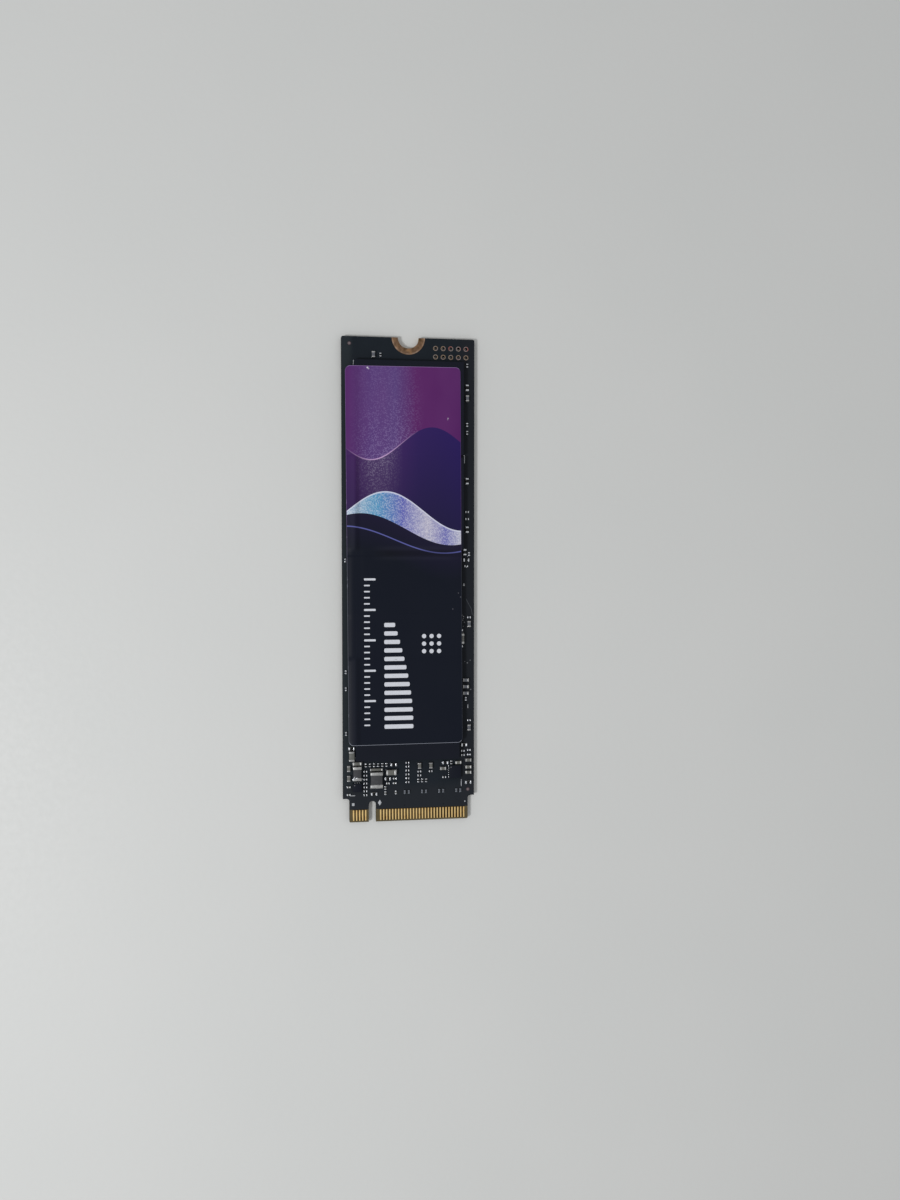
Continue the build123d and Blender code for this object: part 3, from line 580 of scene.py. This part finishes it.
def cut_edge_look():
    """The film's pale cut edge: clean at both ends, flecked along the left side, faint at the right."""
    low, high = box_mm("front_label")
    look = Look("label_cut_edge", Specular_IOR_Level=0.1)
    broken = look.noise(0.7, 3.0)
    low_end = look.step(low.y + CLEAN_LOW_END, look.y, 0.2)
    top_end = look.step(look.y, high.y - CLEAN_TOP_END, 0.2)
    ends = look.calc("MAXIMUM", low_end, top_end)
    flecks = look.range(look.step(broken, 0.64, 0.1), 0.0, 1.0, 0.32, 0.8)
    side = look.range(look.x, -1.0, 1.0, 1.0, 0.3)
    shown = look.calc("MAXIMUM", ends, look.times(flecks, side))
    upper = look.step(look.y, VIOLET_FROM, VIOLET_FADE)
    ground = look.mix(upper, srgb(26, 29, 40), srgb(72, 44, 96))
    pale = look.mix(upper, srgb(132, 136, 148), srgb(136, 110, 158))
    return look.grained(look.mix(shown, ground, pale), broken, 0.4, 0.55, 0.004)


def back_film_look():
    """Plain pale film with a fine fibre grain."""
    look = Look("back_film")
    fibre = look.noise(0.12, 3.0, 0.3)
    cloud = look.noise(4.0)
    colour = look.mix(look.times(fibre, cloud), srgb(196, 197, 199), srgb(220, 221, 222))
    return look.grained(colour, fibre, 0.5, 0.62, 0.004)


def floor_look():
    """A pale coated table top with a faint pebbled coat."""
    look = Look("table_top", Specular_IOR_Level=0.3)
    colour = look.mix(look.noise(40.0), srgb(196, 198, 197), srgb(201, 202, 201))
    return look.grained(colour, look.noise(1.1), 0.42, 0.56, 0.02)


# Shapes

WELD_DISTANCE = 0.001
SHARP_ANGLE = math.radians(40)


def box_mm(node):
    """A node's lowest and highest corners, in millimetres."""
    low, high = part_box(node)
    return low / MM, high / MM


def solids_of(node):
    """The corner points of each separate solid of a node, in millimetres."""
    bm = bmesh.new()
    bm.from_mesh(frame["nodes"][node].data)
    bmesh.ops.scale(bm, vec=(1 / MM,) * 3, verts=bm.verts)
    bmesh.ops.remove_doubles(bm, verts=bm.verts, dist=WELD_DISTANCE)
    seen = set()
    groups = []
    for start in bm.verts:
        if start in seen:
            continue
        seen.add(start)
        group = [start]
        for vert in group:
            for edge in vert.link_edges:
                other = edge.other_vert(vert)
                if other not in seen:
                    seen.add(other)
                    group.append(other)
        groups.append(np.array([vert.co for vert in group]))
    bm.free()
    return groups


def contact_places():
    """The places across the card of the front contacts' middles, from left to right."""
    return sorted(points.mean(0)[0] for points in solids_of("front_contacts"))


def finish_shape(faces, material, smooth=True):
    """Give faces one of their piece's materials, by its number there."""
    for face in faces:
        face.material_index = material
        face.smooth = smooth


def rounded_box(bm, low, high, radius, material, segments=2):
    """A box between two corners with every edge rounded."""
    low, high = Vector(low), Vector(high)
    verts = bmesh.ops.create_cube(bm, size=1.0)["verts"]
    for vert in verts:
        vert.co = (low + high) / 2 + vert.co * (high - low)
    edges = list(dict.fromkeys(edge for vert in verts for edge in vert.link_edges))
    made = bmesh.ops.bevel(bm, geom=edges, offset=radius, segments=segments, profile=0.5, affect="EDGES")
    finish_shape({face for vert in made["verts"] for face in vert.link_faces}, material)


def band(bm, lower, upper):
    """The faces between two rings of corners."""
    faces = []
    for index in range(len(lower)):
        after = (index + 1) % len(lower)
        faces.append(bm.faces.new((lower[index], lower[after], upper[after], upper[index])))
    return faces


def stack(bm, rings, material, smooth=False):
    """A closed solid through rings of points, from the lowest ring to the highest."""
    corners = [[bm.verts.new(point) for point in ring] for ring in rings]
    faces = [bm.faces.new(corners[0][::-1]), bm.faces.new(corners[-1])]
    for lower, upper in zip(corners, corners[1:]):
        faces += band(bm, lower, upper)
    finish_shape(faces, material, smooth)


def plate(bm, outline, z_low, z_high, material=0):
    """A flat plate with the given outline."""
    stack(bm, [[(x, y, z) for x, y in outline] for z in (z_low, z_high)], material)


def stroke(start, end, width):
    """The outline of a straight line of some width."""
    start, end = Vector(start), Vector(end)
    side = (end - start).normalized().orthogonal() * width / 2
    return [start + side, start - side, end - side, end + side]


def disc(x, y, radius, count=16):
    """The outline of a disc."""
    angles = [2 * math.pi * step / count for step in range(count)]
    return [(x + radius * math.cos(angle), y + radius * math.sin(angle)) for angle in angles]


def rounded_rectangle(middle, size, radius, turn=0.0, steps=6):
    """The outline of a rectangle with round corners, turned about its middle."""
    points = []
    for corner, (side_x, side_y) in enumerate(((1, 1), (-1, 1), (-1, -1), (1, -1))):
        x = side_x * (size[0] / 2 - radius)
        y = side_y * (size[1] / 2 - radius)
        for step in range(steps + 1):
            angle = math.pi / 2 * (corner + step / steps)
            points.append(Vector((x + radius * math.cos(angle), y + radius * math.sin(angle))))
    return [Vector(middle) + Matrix.Rotation(turn, 2) @ point for point in points]


def add_object(name, data):
    """A new object in the scene."""
    made = bpy.data.objects.new(name, data)
    bpy.context.scene.collection.objects.link(made)
    return made


def piece(name, bm, materials, replaced=None):
    """Turn a shape into a piece of the drive, in metres."""
    bmesh.ops.recalc_face_normals(bm, faces=bm.faces)
    bmesh.ops.scale(bm, vec=(MM,) * 3, verts=bm.verts)
    mesh = bpy.data.meshes.new(name)
    bm.to_mesh(mesh)
    bm.free()
    mesh.set_sharp_from_angle(angle=SHARP_ANGLE)
    for material in materials:
        mesh.materials.append(material)
    made = add_object(name, mesh)
    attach(made, "root")
    if replaced:
        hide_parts(replaced)


def dress(node, material):
    """Give a node of the frame its finish."""
    slots = frame["nodes"][node].data.materials
    slots.clear()
    slots.append(material)


# Chip parts

# Bodies and terminals: inset as a share of the width, and rounding as shares of the thinner side
BODY_INSET = 0.05
BODY_ROUNDING = 0.06
TERMINAL_ROUNDING = 0.14
# Solder fillets: the reach is a share of the part's width less a trim, and the rise a share of its height
FILLET_STEPS = 5
FILLET_FOOT = 0.008
FILLET_TUCK = 0.04
FILLET_REACH = 0.13
FILLET_TRIM = 0.02
FILLET_LEAST = 0.02
FILLET_RISE = 0.5
# Parts lower than this have bright terminals; some groups have their own terminals or body
SMALL_HEIGHT = 0.4
FAINT_GROUPS = ("coupling_capacitors",)
GREY_GROUPS = ("edge_capacitors", "bypass_capacitors", "coupling_capacitors")
# Solder spilled on a terminal: its middle, half its size each way and its turn
SOLDER_LUMPS = {
    "small_inductor": [
        ((-9.24, -32.47, 1.76), (0.42, 0.13, 0.12), math.radians(60)),
        ((-8.72, -32.4, 1.79), (0.16, 0.1, 0.06), 0.0),
    ],
}


def fillet(bm, foot, outward, across, reach, rise, half_width, material):
    """A hollow ramp of solder from the board up a terminal's end."""
    profile = [(-FILLET_TUCK, 0.0)]
    for step in range(FILLET_STEPS + 1):
        angle = math.pi / 2 * step / FILLET_STEPS
        up = rise * (1 - math.cos(angle)) + FILLET_FOOT
        profile.append((reach * (1 - math.sin(angle)), up))
    profile.append((-FILLET_TUCK, rise))
    rings = []
    for side in (-half_width, half_width):
        rings.append([foot + outward * out + across * side + Vector((0, 0, up)) for out, up in profile])
    stack(bm, rings, material, smooth=True)


def chip(bm, points):
    """One chip part: a body between two tinned, rounded terminals with solder at their feet."""
    low, high = Vector(points.min(0)), Vector(points.max(0))
    size = high - low
    axis = 0 if size.x > size.y else 1
    cuts = np.unique(np.round(points[:, axis], 3))
    terminal = cuts[1] - cuts[0]
    side = 1 - axis
    inset = BODY_INSET * size[side]
    body_low, body_high = low.copy(), high.copy()
    body_low[axis] += terminal / 2
    body_high[axis] -= terminal / 2
    body_low[side] += inset
    body_high[side] -= inset
    body_high.z -= inset
    thinner = min(size[side], size.z)
    rounded_box(bm, body_low, body_high, BODY_ROUNDING * thinner, 0)
    outward = Vector(np.eye(3)[axis])
    across = Vector(np.eye(3)[side])
    reach = max(FILLET_REACH * size[side] - FILLET_TRIM, FILLET_LEAST)
    for end, tip in ((-1, low), (1, high)):
        end_low, end_high = low.copy(), high.copy()
        if end < 0:
            end_high[axis] = low[axis] + terminal
        else:
            end_low[axis] = high[axis] - terminal
        rounded_box(bm, end_low, end_high, TERMINAL_ROUNDING * thinner, 1, 3)
        foot = (low + high) / 2
        foot[axis] = tip[axis]
        foot.z = low.z
        fillet(bm, foot, outward * end, across, reach, size.z * FILLET_RISE, size[side] / 2, 1)


def solder_lump(bm, middle, half_size, turn):
    """A lump of spilled solder, longer than wide, turned about its middle."""
    place = Matrix.Translation(middle) @ Matrix.Rotation(turn, 4, "Z") @ Matrix.Diagonal((*half_size, 1.0))
    made = bmesh.ops.create_icosphere(bm, subdivisions=3, radius=1.0, matrix=place)
    finish_shape({face for vert in made["verts"] for face in vert.link_faces}, 2)


def chip_group(node, body):
    """All the chip parts of one node; the small ones have the brighter terminals."""
    bm = bmesh.new()
    for points in solids_of(node):
        chip(bm, points)
    for lump in SOLDER_LUMPS.get(node, ()):
        solder_lump(bm, *lump)
    height = box_mm(node)[1].z - board_high.z
    terminals = tin if height < SMALL_HEIGHT else dull_tin
    if node in FAINT_GROUPS:
        terminals = faint_tin
    piece("soldered_" + node, bm, [body, terminals, tin], node)


# Power chips: slack when telling body from leads, then the body, the dot on it and the leads
SLACK = 0.01
MOULD_LIFT = 0.02
MOULD_ROUNDING = 0.05
DOT_INSET = 0.3
DOT_RADIUS = 0.1
DOT_DEPTH = 0.02
DOT_RISE = 0.001
LEAD_ROOT = 0.05
LEAD_ROUNDING = 0.035


def power_chip(node):
    """A moulded power chip with tinned leads along one side."""
    points = solids_of(node)[0]
    low_z, top = points[:, 2].min(), points[:, 2].max()
    body = points[points[:, 2] > top - SLACK]
    low, high = body.min(0), body.max(0)
    bm = bmesh.new()
    rounded_box(bm, (low[0], low[1], low_z + MOULD_LIFT), high, MOULD_ROUNDING, 0)
    dot = disc(low[0] + DOT_INSET, high[1] - DOT_INSET, DOT_RADIUS)
    plate(bm, dot, top - DOT_DEPTH, top + DOT_RISE, 2)
    leads = points[(points[:, 0] < low[0] - SLACK) | (points[:, 1] > high[1] + SLACK)]
    beside = leads[:, 0].max() < low[0]
    along = int(beside)
    stops = np.unique(np.round(leads[:, along], 3))
    for start, end in zip(stops[0::2], stops[1::2]):
        lead_low, lead_high = leads.min(0), leads.max(0)
        lead_low[along], lead_high[along] = start, end
        if beside:
            lead_high[0] = low[0] + LEAD_ROOT
        else:
            lead_low[1] = high[1] - LEAD_ROOT
        rounded_box(bm, lead_low, lead_high, LEAD_ROUNDING, 1)
    piece("soldered_" + node, bm, [mould, tin, chip_mark], node)


# Solder balls: corners around each, and how wide it is at even steps up its height
BALL_CORNERS = 10
BALL_PROFILE = (0.82, 1.0, 1.06, 1.0, 0.82)


def solder_balls(node):
    """Barrel-shaped solder joints under a package."""
    bm = bmesh.new()
    for points in solids_of(node):
        low, high = points.min(0), points.max(0)
        middle = (low + high) / 2
        radius = (high[0] - low[0]) / 2
        rings = []
        for level, share in enumerate(BALL_PROFILE):
            z = low[2] + (high[2] - low[2]) * level / (len(BALL_PROFILE) - 1)
            ring = disc(middle[0], middle[1], radius * share / max(BALL_PROFILE), BALL_CORNERS)
            rings.append([(x, y, z) for x, y in ring])
        stack(bm, rings, 0, smooth=True)
    piece("reflowed_" + node, bm, [tin], node)


def contact_row(node):
    """Gold contacts with softened edges."""
    bm = bmesh.new()
    contacts = solids_of(node)
    for points in contacts:
        rounded_box(bm, points.min(0), points.max(0), CONTACT_ROUNDING, 0)
    gold = gold_look("gold_" + node, contacts[0].mean(0)[0], box_mm(node)[1].y)
    piece("plated_" + node, bm, [gold], node)


# Front label

# Sunk places between packages: the film's depth there, and the width of its shoulders
CACHE_GAP = (0.055, 0.22)
MEMORY_GAP = (0.02, 0.2)
CONTROLLER_GAP = (0.07, 0.5)
BESIDE_CACHE = (0.04, 0.6)
BESIDE_CACHE_FADE = 0.8
# A slight step down at the memory packages' left edge: its depth, start and width
EDGE_STEP = 0.012
EDGE_STEP_START = 0.35
EDGE_STEP_WIDTH = 0.3
# Slow ripples in the film: their pace across and along the card, their depth and a place in the noise
RIPPLE_ACROSS = 0.22
RIPPLE_ALONG = 0.16
RIPPLE_DEPTH = 0.008
RIPPLE_PLACE = 3.0
# The film's mesh: its spacing, the reach and spacing of closer cells at folds and at the cache package's
# side, and the tolerance of its cuts
CELL_ACROSS = 0.8
CELL_ALONG = 1.0
FOLD_CELLS = (0.5, 0.1)
CACHE_CELLS = (0.6, 0.2)
CUT_TOLERANCE = 0.0001


def ease(share):
    """A smooth rise from 0 to 1."""
    share = min(max(share, 0.0), 1.0)
    return share * share * (3 - 2 * share)


def hollow(place, low, high, depth, shoulder):
    """A depth in the open span between two package edges, easing to 0 over a shoulder past them."""
    fall = ease((place - low + shoulder) / (2 * shoulder))
    climb = ease((high + shoulder - place) / (2 * shoulder))
    return depth * fall * climb


def label_height(x, y):
    """Height of the film's printed face: flat on the packages, sunk in the gaps, drooping at the left."""
    z = label_top
    past = upper_low.x - x
    if past > 0:
        z -= LABEL_DROOP_RADIUS - math.sqrt(LABEL_DROOP_RADIUS ** 2 - past ** 2)
    z -= hollow(y, cache_high.y, lower_low.y, *CACHE_GAP)
    z -= hollow(y, lower_high.y, upper_low.y, *MEMORY_GAP)
    z -= hollow(y, controller_high.y, cache_low.y, *CONTROLLER_GAP)
    beside_cache = ease((cache_low.x - x) / BESIDE_CACHE_FADE)
    z -= hollow(y, controller_high.y, lower_low.y, *BESIDE_CACHE) * beside_cache
    z -= EDGE_STEP * ease((upper_low.x + EDGE_STEP_START - x) / EDGE_STEP_WIDTH)
    ripple = noise.noise(Vector((x * RIPPLE_ACROSS, y * RIPPLE_ALONG, RIPPLE_PLACE)))
    return z - RIPPLE_DEPTH * (0.5 + 0.5 * ripple)


def label_outline(margin):
    """The label's outline drawn in by a margin, from its box in the frame."""
    low, high = box_mm("front_label")
    cos, sin = math.cos(LABEL_TWIST), math.sin(LABEL_TWIST)
    spare = 2 * LABEL_CORNER * (cos + sin - 1)
    box_width = high.x - low.x + spare
    box_length = high.y - low.y + spare
    scale = cos * cos - sin * sin
    width = (box_width * cos - box_length * sin) / scale
    length = (box_length * cos - box_width * sin) / scale
    size = (width - 2 * margin, length - 2 * margin)
    return rounded_rectangle((low + high).xy / 2, size, LABEL_CORNER - margin, LABEL_TWIST)


def spaced(low, high, pitch, fine):
    """Places from low to high at a pitch, with closer ones around some edges."""
    places = list(np.arange(low, high, pitch))
    for edge, reach, close in fine:
        places += list(np.arange(edge - reach, edge + reach, close))
    return sorted(set(np.round(places, 3)))


def front_label():
    """The printed film, cut to its rounded outline and laid over the packages."""
    bm = bmesh.new()
    outer = [bm.verts.new((*point, 0.0)) for point in label_outline(0.0)]
    inner = [bm.verts.new((*point, 0.0)) for point in label_outline(LABEL_BORDER)]
    for rim in band(bm, outer, inner):
        rim.material_index = 1
    bm.faces.new(inner)
    low, high = box_mm("front_label")
    across = spaced(low.x, high.x, CELL_ACROSS, [(upper_low.x, *FOLD_CELLS), (cache_low.x, *CACHE_CELLS)])
    edges = (cache_high.y, lower_low.y, lower_high.y, upper_low.y, controller_high.y, cache_low.y)
    along = spaced(low.y, high.y, CELL_ALONG, [(edge, *FOLD_CELLS) for edge in edges])
    cuts = [((x, 0, 0), (1, 0, 0)) for x in across] + [((0, y, 0), (0, 1, 0)) for y in along]
    for place, direction in cuts:
        geometry = list(bm.verts) + list(bm.edges) + list(bm.faces)
        bmesh.ops.bisect_plane(bm, geom=geometry, dist=CUT_TOLERANCE, plane_co=place, plane_no=direction)
    border = {vert for edge in bm.edges if edge.is_boundary for vert in edge.verts}
    for vert in bm.verts:
        vert.co.z = label_height(vert.co.x, vert.co.y) - (LABEL_SINK if vert in border else 0.0)
    bmesh.ops.recalc_face_normals(bm, faces=bm.faces)
    printed = list(bm.faces)
    thickness = label_top - (upper_high.z + FILM_CLEARANCE)
    solid = bmesh.ops.solidify(bm, geom=printed, thickness=thickness)
    for face in solid["geom"]:
        if isinstance(face, bmesh.types.BMFace):
            face.material_index = 1
    for face in bm.faces:
        face.smooth = True
    piece("printed_front_label", bm, [film, cut_edge], "front_label")


# White print: a scale of ticks, each with its length and width
SCALE_LEFT = -7.5
SCALE_TOP = 0.4
SCALE_PITCH = 1.0
SCALE_TICKS = 25
LONG_TICK_EVERY = 5
LONG_TICK = (1.9, 0.34)
SHORT_TICK = (0.95, 0.24)
TICK_ROUNDING = 0.3
# White print: level bars, from the shortest at the top, and a square block of dots
BAR_LEFT = -4.2
BAR_TOP = -7.1
BAR_PITCH = 1.4
BAR_COUNT = 13
BAR_WIDTH = 0.7
BAR_ROUNDING = 0.22
BAR_BASE = 1.4
BAR_GROWTH = 3.4
BLOCK_LEFT = 2.4
BLOCK_TOP = -9.0
BLOCK_SIDE = 3
BLOCK_PITCH = 1.25
BLOCK_DOT = 0.36


def lay_on_label(bm, outline):
    """A printed shape that follows the film's face."""
    rings = []
    for rise in (-PRINT_RISE, PRINT_RISE):
        rings.append([(x, y, label_height(x, y) + rise) for x, y in outline])
    stack(bm, rings, 0)


def label_print():
    """Plain white print: a fine scale, a row of level bars and a block of dots."""
    bm = bmesh.new()
    for tick in range(SCALE_TICKS):
        reach, width = SHORT_TICK if tick % LONG_TICK_EVERY else LONG_TICK
        middle = (SCALE_LEFT + reach / 2, SCALE_TOP - tick * SCALE_PITCH)
        lay_on_label(bm, rounded_rectangle(middle, (reach, width), width * TICK_ROUNDING, steps=2))
    for bar in range(BAR_COUNT):
        reach = BAR_BASE + BAR_GROWTH * math.sin(math.pi / 2 * (bar + 1) / BAR_COUNT)
        middle = (BAR_LEFT + reach / 2, BAR_TOP - bar * BAR_PITCH)
        lay_on_label(bm, rounded_rectangle(middle, (reach, BAR_WIDTH), BAR_ROUNDING, steps=4))
    for column in range(BLOCK_SIDE):
        for row in range(BLOCK_SIDE):
            x = BLOCK_LEFT + BLOCK_PITCH * column
            y = BLOCK_TOP - BLOCK_PITCH * row
            lay_on_label(bm, disc(x, y, BLOCK_DOT, 20))
    piece("white_label_print", bm, [label_ink])


# Marks and tracks on the card's face

MARK_RISE = 0.006
MARK_WIDTH = 0.1
# Tracks: their height, their joints' extra height and share of the width, and their bend past a contact
TRACK_RISE = 0.012
JOINT_RISE = 0.002
JOINT_SHARE = 0.56
TRACK_WIDTH = 0.12
TRACK_BEND = 0.5
# Stubs with a via at the end, on every third contact that no other track uses
STUB_EVERY = 3
STUB_WIDTH = 0.16
STUB_LENGTH = 0.55
STUB_STAGGER = 0.25
VIA_SHIFT = 0.05
VIA_RADIUS = 0.17
# Stitching vias along both sides of the card; the run is start, end and pitch
STITCH_INSET = 0.42
STITCH_RADIUS = 0.16
STITCH_RUN = (-33.5, 36.0, 2.9)
STITCH_STAGGER = 0.4


def card_marks():
    """Thin white screen-printed marks around the parts."""
    lines = [
        ((-9.0, -29.0), (-9.0, -29.6)),
        ((-9.85, -35.1), (-9.85, -35.5)), ((-9.85, -35.5), (-9.0, -35.5)),
        ((8.83, -33.3), (8.83, -34.45)),
        ((9.36, 20.9), (9.36, 19.6)), ((9.06, 20.9), (9.36, 20.9)),
        ((9.17, 34.9), (9.17, 36.3)),
        ((-9.05, 35.3), (-9.0, 36.15)),
        ((9.95, -20.7), (9.95, -21.3)),
    ]
    outlines = [stroke(start, end, MARK_WIDTH) for start, end in lines] + [
        [(-5.21, -36.8), (-4.91, -37.3), (-4.61, -36.8), (-4.91, -36.3)],
        [(-9.52, -36.75), (-9.52, -37.2), (-9.12, -37.2), (-9.12, -36.75)],
        [(9.12, -0.75), (9.44, -0.75), (9.28, -0.25)],
        disc(9.45, -37.05, 0.12),
    ]
    bm = bmesh.new()
    for outline in outlines:
        plate(bm, outline, board_high.z, board_high.z + MARK_RISE)
    piece("white_card_marks", bm, [card_ink])


def track(bm, route, width, z_low, z_high):
    """A raised track under the mask along a run of points, with round joints a little proud of it."""
    for start, end in zip(route, route[1:]):
        plate(bm, stroke(start, end, width), z_low, z_high)
    for x, y in route[1:-1]:
        plate(bm, disc(x, y, width * JOINT_SHARE, 10), z_low, z_high + JOINT_RISE)


def card_tracks():
    """Faint raised tracks from the contacts to the coupling parts, and stitching along the sides."""
    bm = bmesh.new()
    z_low, z_high = board_high.z, board_high.z + TRACK_RISE
    contacts = contact_places()
    contact_top = box_mm("front_contacts")[1].y
    bend = contact_top + TRACK_BEND
    coupling = sorted(solids_of("coupling_capacitors"), key=lambda points: points.mean(0)[0])
    taken = set()
    for points in coupling:
        x = points.mean(0)[0]
        low_y, high_y = points[:, 1].min(), points[:, 1].max()
        nearest = min(contacts, key=lambda place: abs(place - x))
        taken.add(nearest)
        route = [(nearest, contact_top), (nearest, bend), (x, bend + abs(x - nearest)), (x, low_y)]
        track(bm, route, TRACK_WIDTH, z_low, z_high)
        track(bm, [(x, high_y), (x, controller_low.y)], TRACK_WIDTH, z_low, z_high)
    for index, x in enumerate(contacts):
        if index % STUB_EVERY == 1 and x not in taken:
            end = contact_top + STUB_LENGTH + STUB_STAGGER * (index % 2)
            track(bm, [(x, contact_top), (x, end)], STUB_WIDTH, z_low, z_high)
            plate(bm, disc(x, end + VIA_SHIFT, VIA_RADIUS), z_low, z_high + JOINT_RISE)
    edge = board_high.x - STITCH_INSET
    for side in (-1, 1):
        for y in np.arange(*STITCH_RUN):
            plate(bm, disc(side * edge, y + STITCH_STAGGER * side, STITCH_RADIUS), z_low, z_high)
    piece("mask_covered_tracks", bm, [board_mask])


# Stage

def add_stage():
    """A plain table top, one soft lamp and an even room."""
    size = FLOOR_SIZE * MM
    mesh = bpy.data.meshes.new("table_top")
    corners = [(-size, -size, 0), (size, -size, 0), (size, size, 0), (-size, size, 0)]
    mesh.from_pydata(corners, [], [(0, 1, 2, 3)])
    mesh.materials.append(floor_look())
    floor = add_object("table_top", mesh)
    floor.location.z = -FLOOR_DROP * MM

    lamp = bpy.data.lights.new("soft_lamp", "AREA")
    lamp.size = LAMP_SIZE * MM
    lamp.energy = LAMP_POWER
    holder = add_object("soft_lamp", lamp)
    holder.location = Vector(LAMP_PLACE) * MM
    holder.rotation_euler = (-holder.location).to_track_quat("-Z", "Y").to_euler()

    world = bpy.data.worlds.new("room")
    world.use_nodes = True
    ground = world.node_tree.nodes["Background"]
    ground.inputs["Color"].default_value = (1.0, 1.0, 1.0, 1.0)
    ground.inputs["Strength"].default_value = ROOM_LEVEL
    bpy.context.scene.world = world
    bpy.context.scene.view_settings.view_transform = "Standard"


def add_camera():
    """The camera over the card, a little to its left."""
    camera = bpy.data.cameras.new("camera")
    camera.sensor_width = SENSOR
    camera.lens = SENSOR * FOCAL_PIXELS / PICTURE_HEIGHT
    camera.clip_start = CLIP_START * MM
    holder = add_object("camera", camera)
    back = (Vector(CAMERA_PLACE) - Vector(CAMERA_AIM)).normalized()
    right = Vector((0, 1, 0)).cross(back).normalized()
    turn = Matrix((right, back.cross(right), back)).transposed()
    holder.matrix_world = Matrix.Translation(Vector(CAMERA_PLACE) * MM) @ turn.to_4x4()
    bpy.context.scene.camera = holder


# Places of the main pieces
board_low, board_high = box_mm("circuit_board")
upper_low, upper_high = box_mm("memory_chip_upper")
lower_low, lower_high = box_mm("memory_chip_lower")
cache_low, cache_high = box_mm("cache_chip")
controller_low, controller_high = box_mm("controller_chip")
label_top = box_mm("front_label")[1].z - PRINT_RISE - PRINT_ROOM

# Finishes
board_mask = board_look()
tin = tin_look("tin", srgb(176, 180, 186), srgb(224, 227, 232), 0.36, 0.2)
dull_tin = tin_look("dull_tin", srgb(140, 141, 142), srgb(186, 187, 186), 0.46, 0.3)
faint_tin = tin_look("faint_tin", srgb(104, 110, 118), srgb(136, 142, 150), 0.5, 0.36)
capacitor = ceramic_look("capacitor_ceramic", srgb(78, 79, 76), srgb(126, 127, 122), 0.5, 0.3)
grey_capacitor = ceramic_look("grey_ceramic", srgb(70, 73, 80), srgb(112, 115, 124), 0.5, 0.3)
ferrite = ceramic_look("inductor_ferrite", srgb(48, 49, 52), srgb(78, 79, 82), 0.55, 0.2)
resistor = resistor_look()
mould = mould_look()
film = film_look()
cut_edge = cut_edge_look()
label_ink = ink_look("label_ink", srgb(200, 203, 211), srgb(180, 183, 192))
card_ink = ink_look("card_ink", srgb(176, 179, 184), srgb(98, 102, 108))
chip_mark = ink_look("chip_mark", srgb(88, 90, 94), srgb(60, 62, 66))

dress("circuit_board", board_mask)
dress("screw_seat", seat_look())
dress("header_pads", header_look())
dress("alignment_dots", dot_look())
dress("back_label", back_film_look())
for package in ("memory_chip_upper", "memory_chip_lower", "cache_chip", "controller_chip"):
    dress(package, mould)
    solder_balls(package + "_balls")
for row in ("front_contacts", "back_contacts"):
    contact_row(row)
bodies = {"capacitor_ceramic": capacitor, "resistor_ceramic": resistor, "inductor_ferrite": ferrite}
for part in frame["record"]["subparts"]:
    node, slot = part["node"], part["material_slot"]
    if slot in bodies:
        chip_group(node, grey_capacitor if node in GREY_GROUPS else bodies[slot])
power_chip("regulator_chip")
power_chip("power_switch_chip")
front_label()
label_print()
card_marks()
card_tracks()
add_stage()
add_camera()
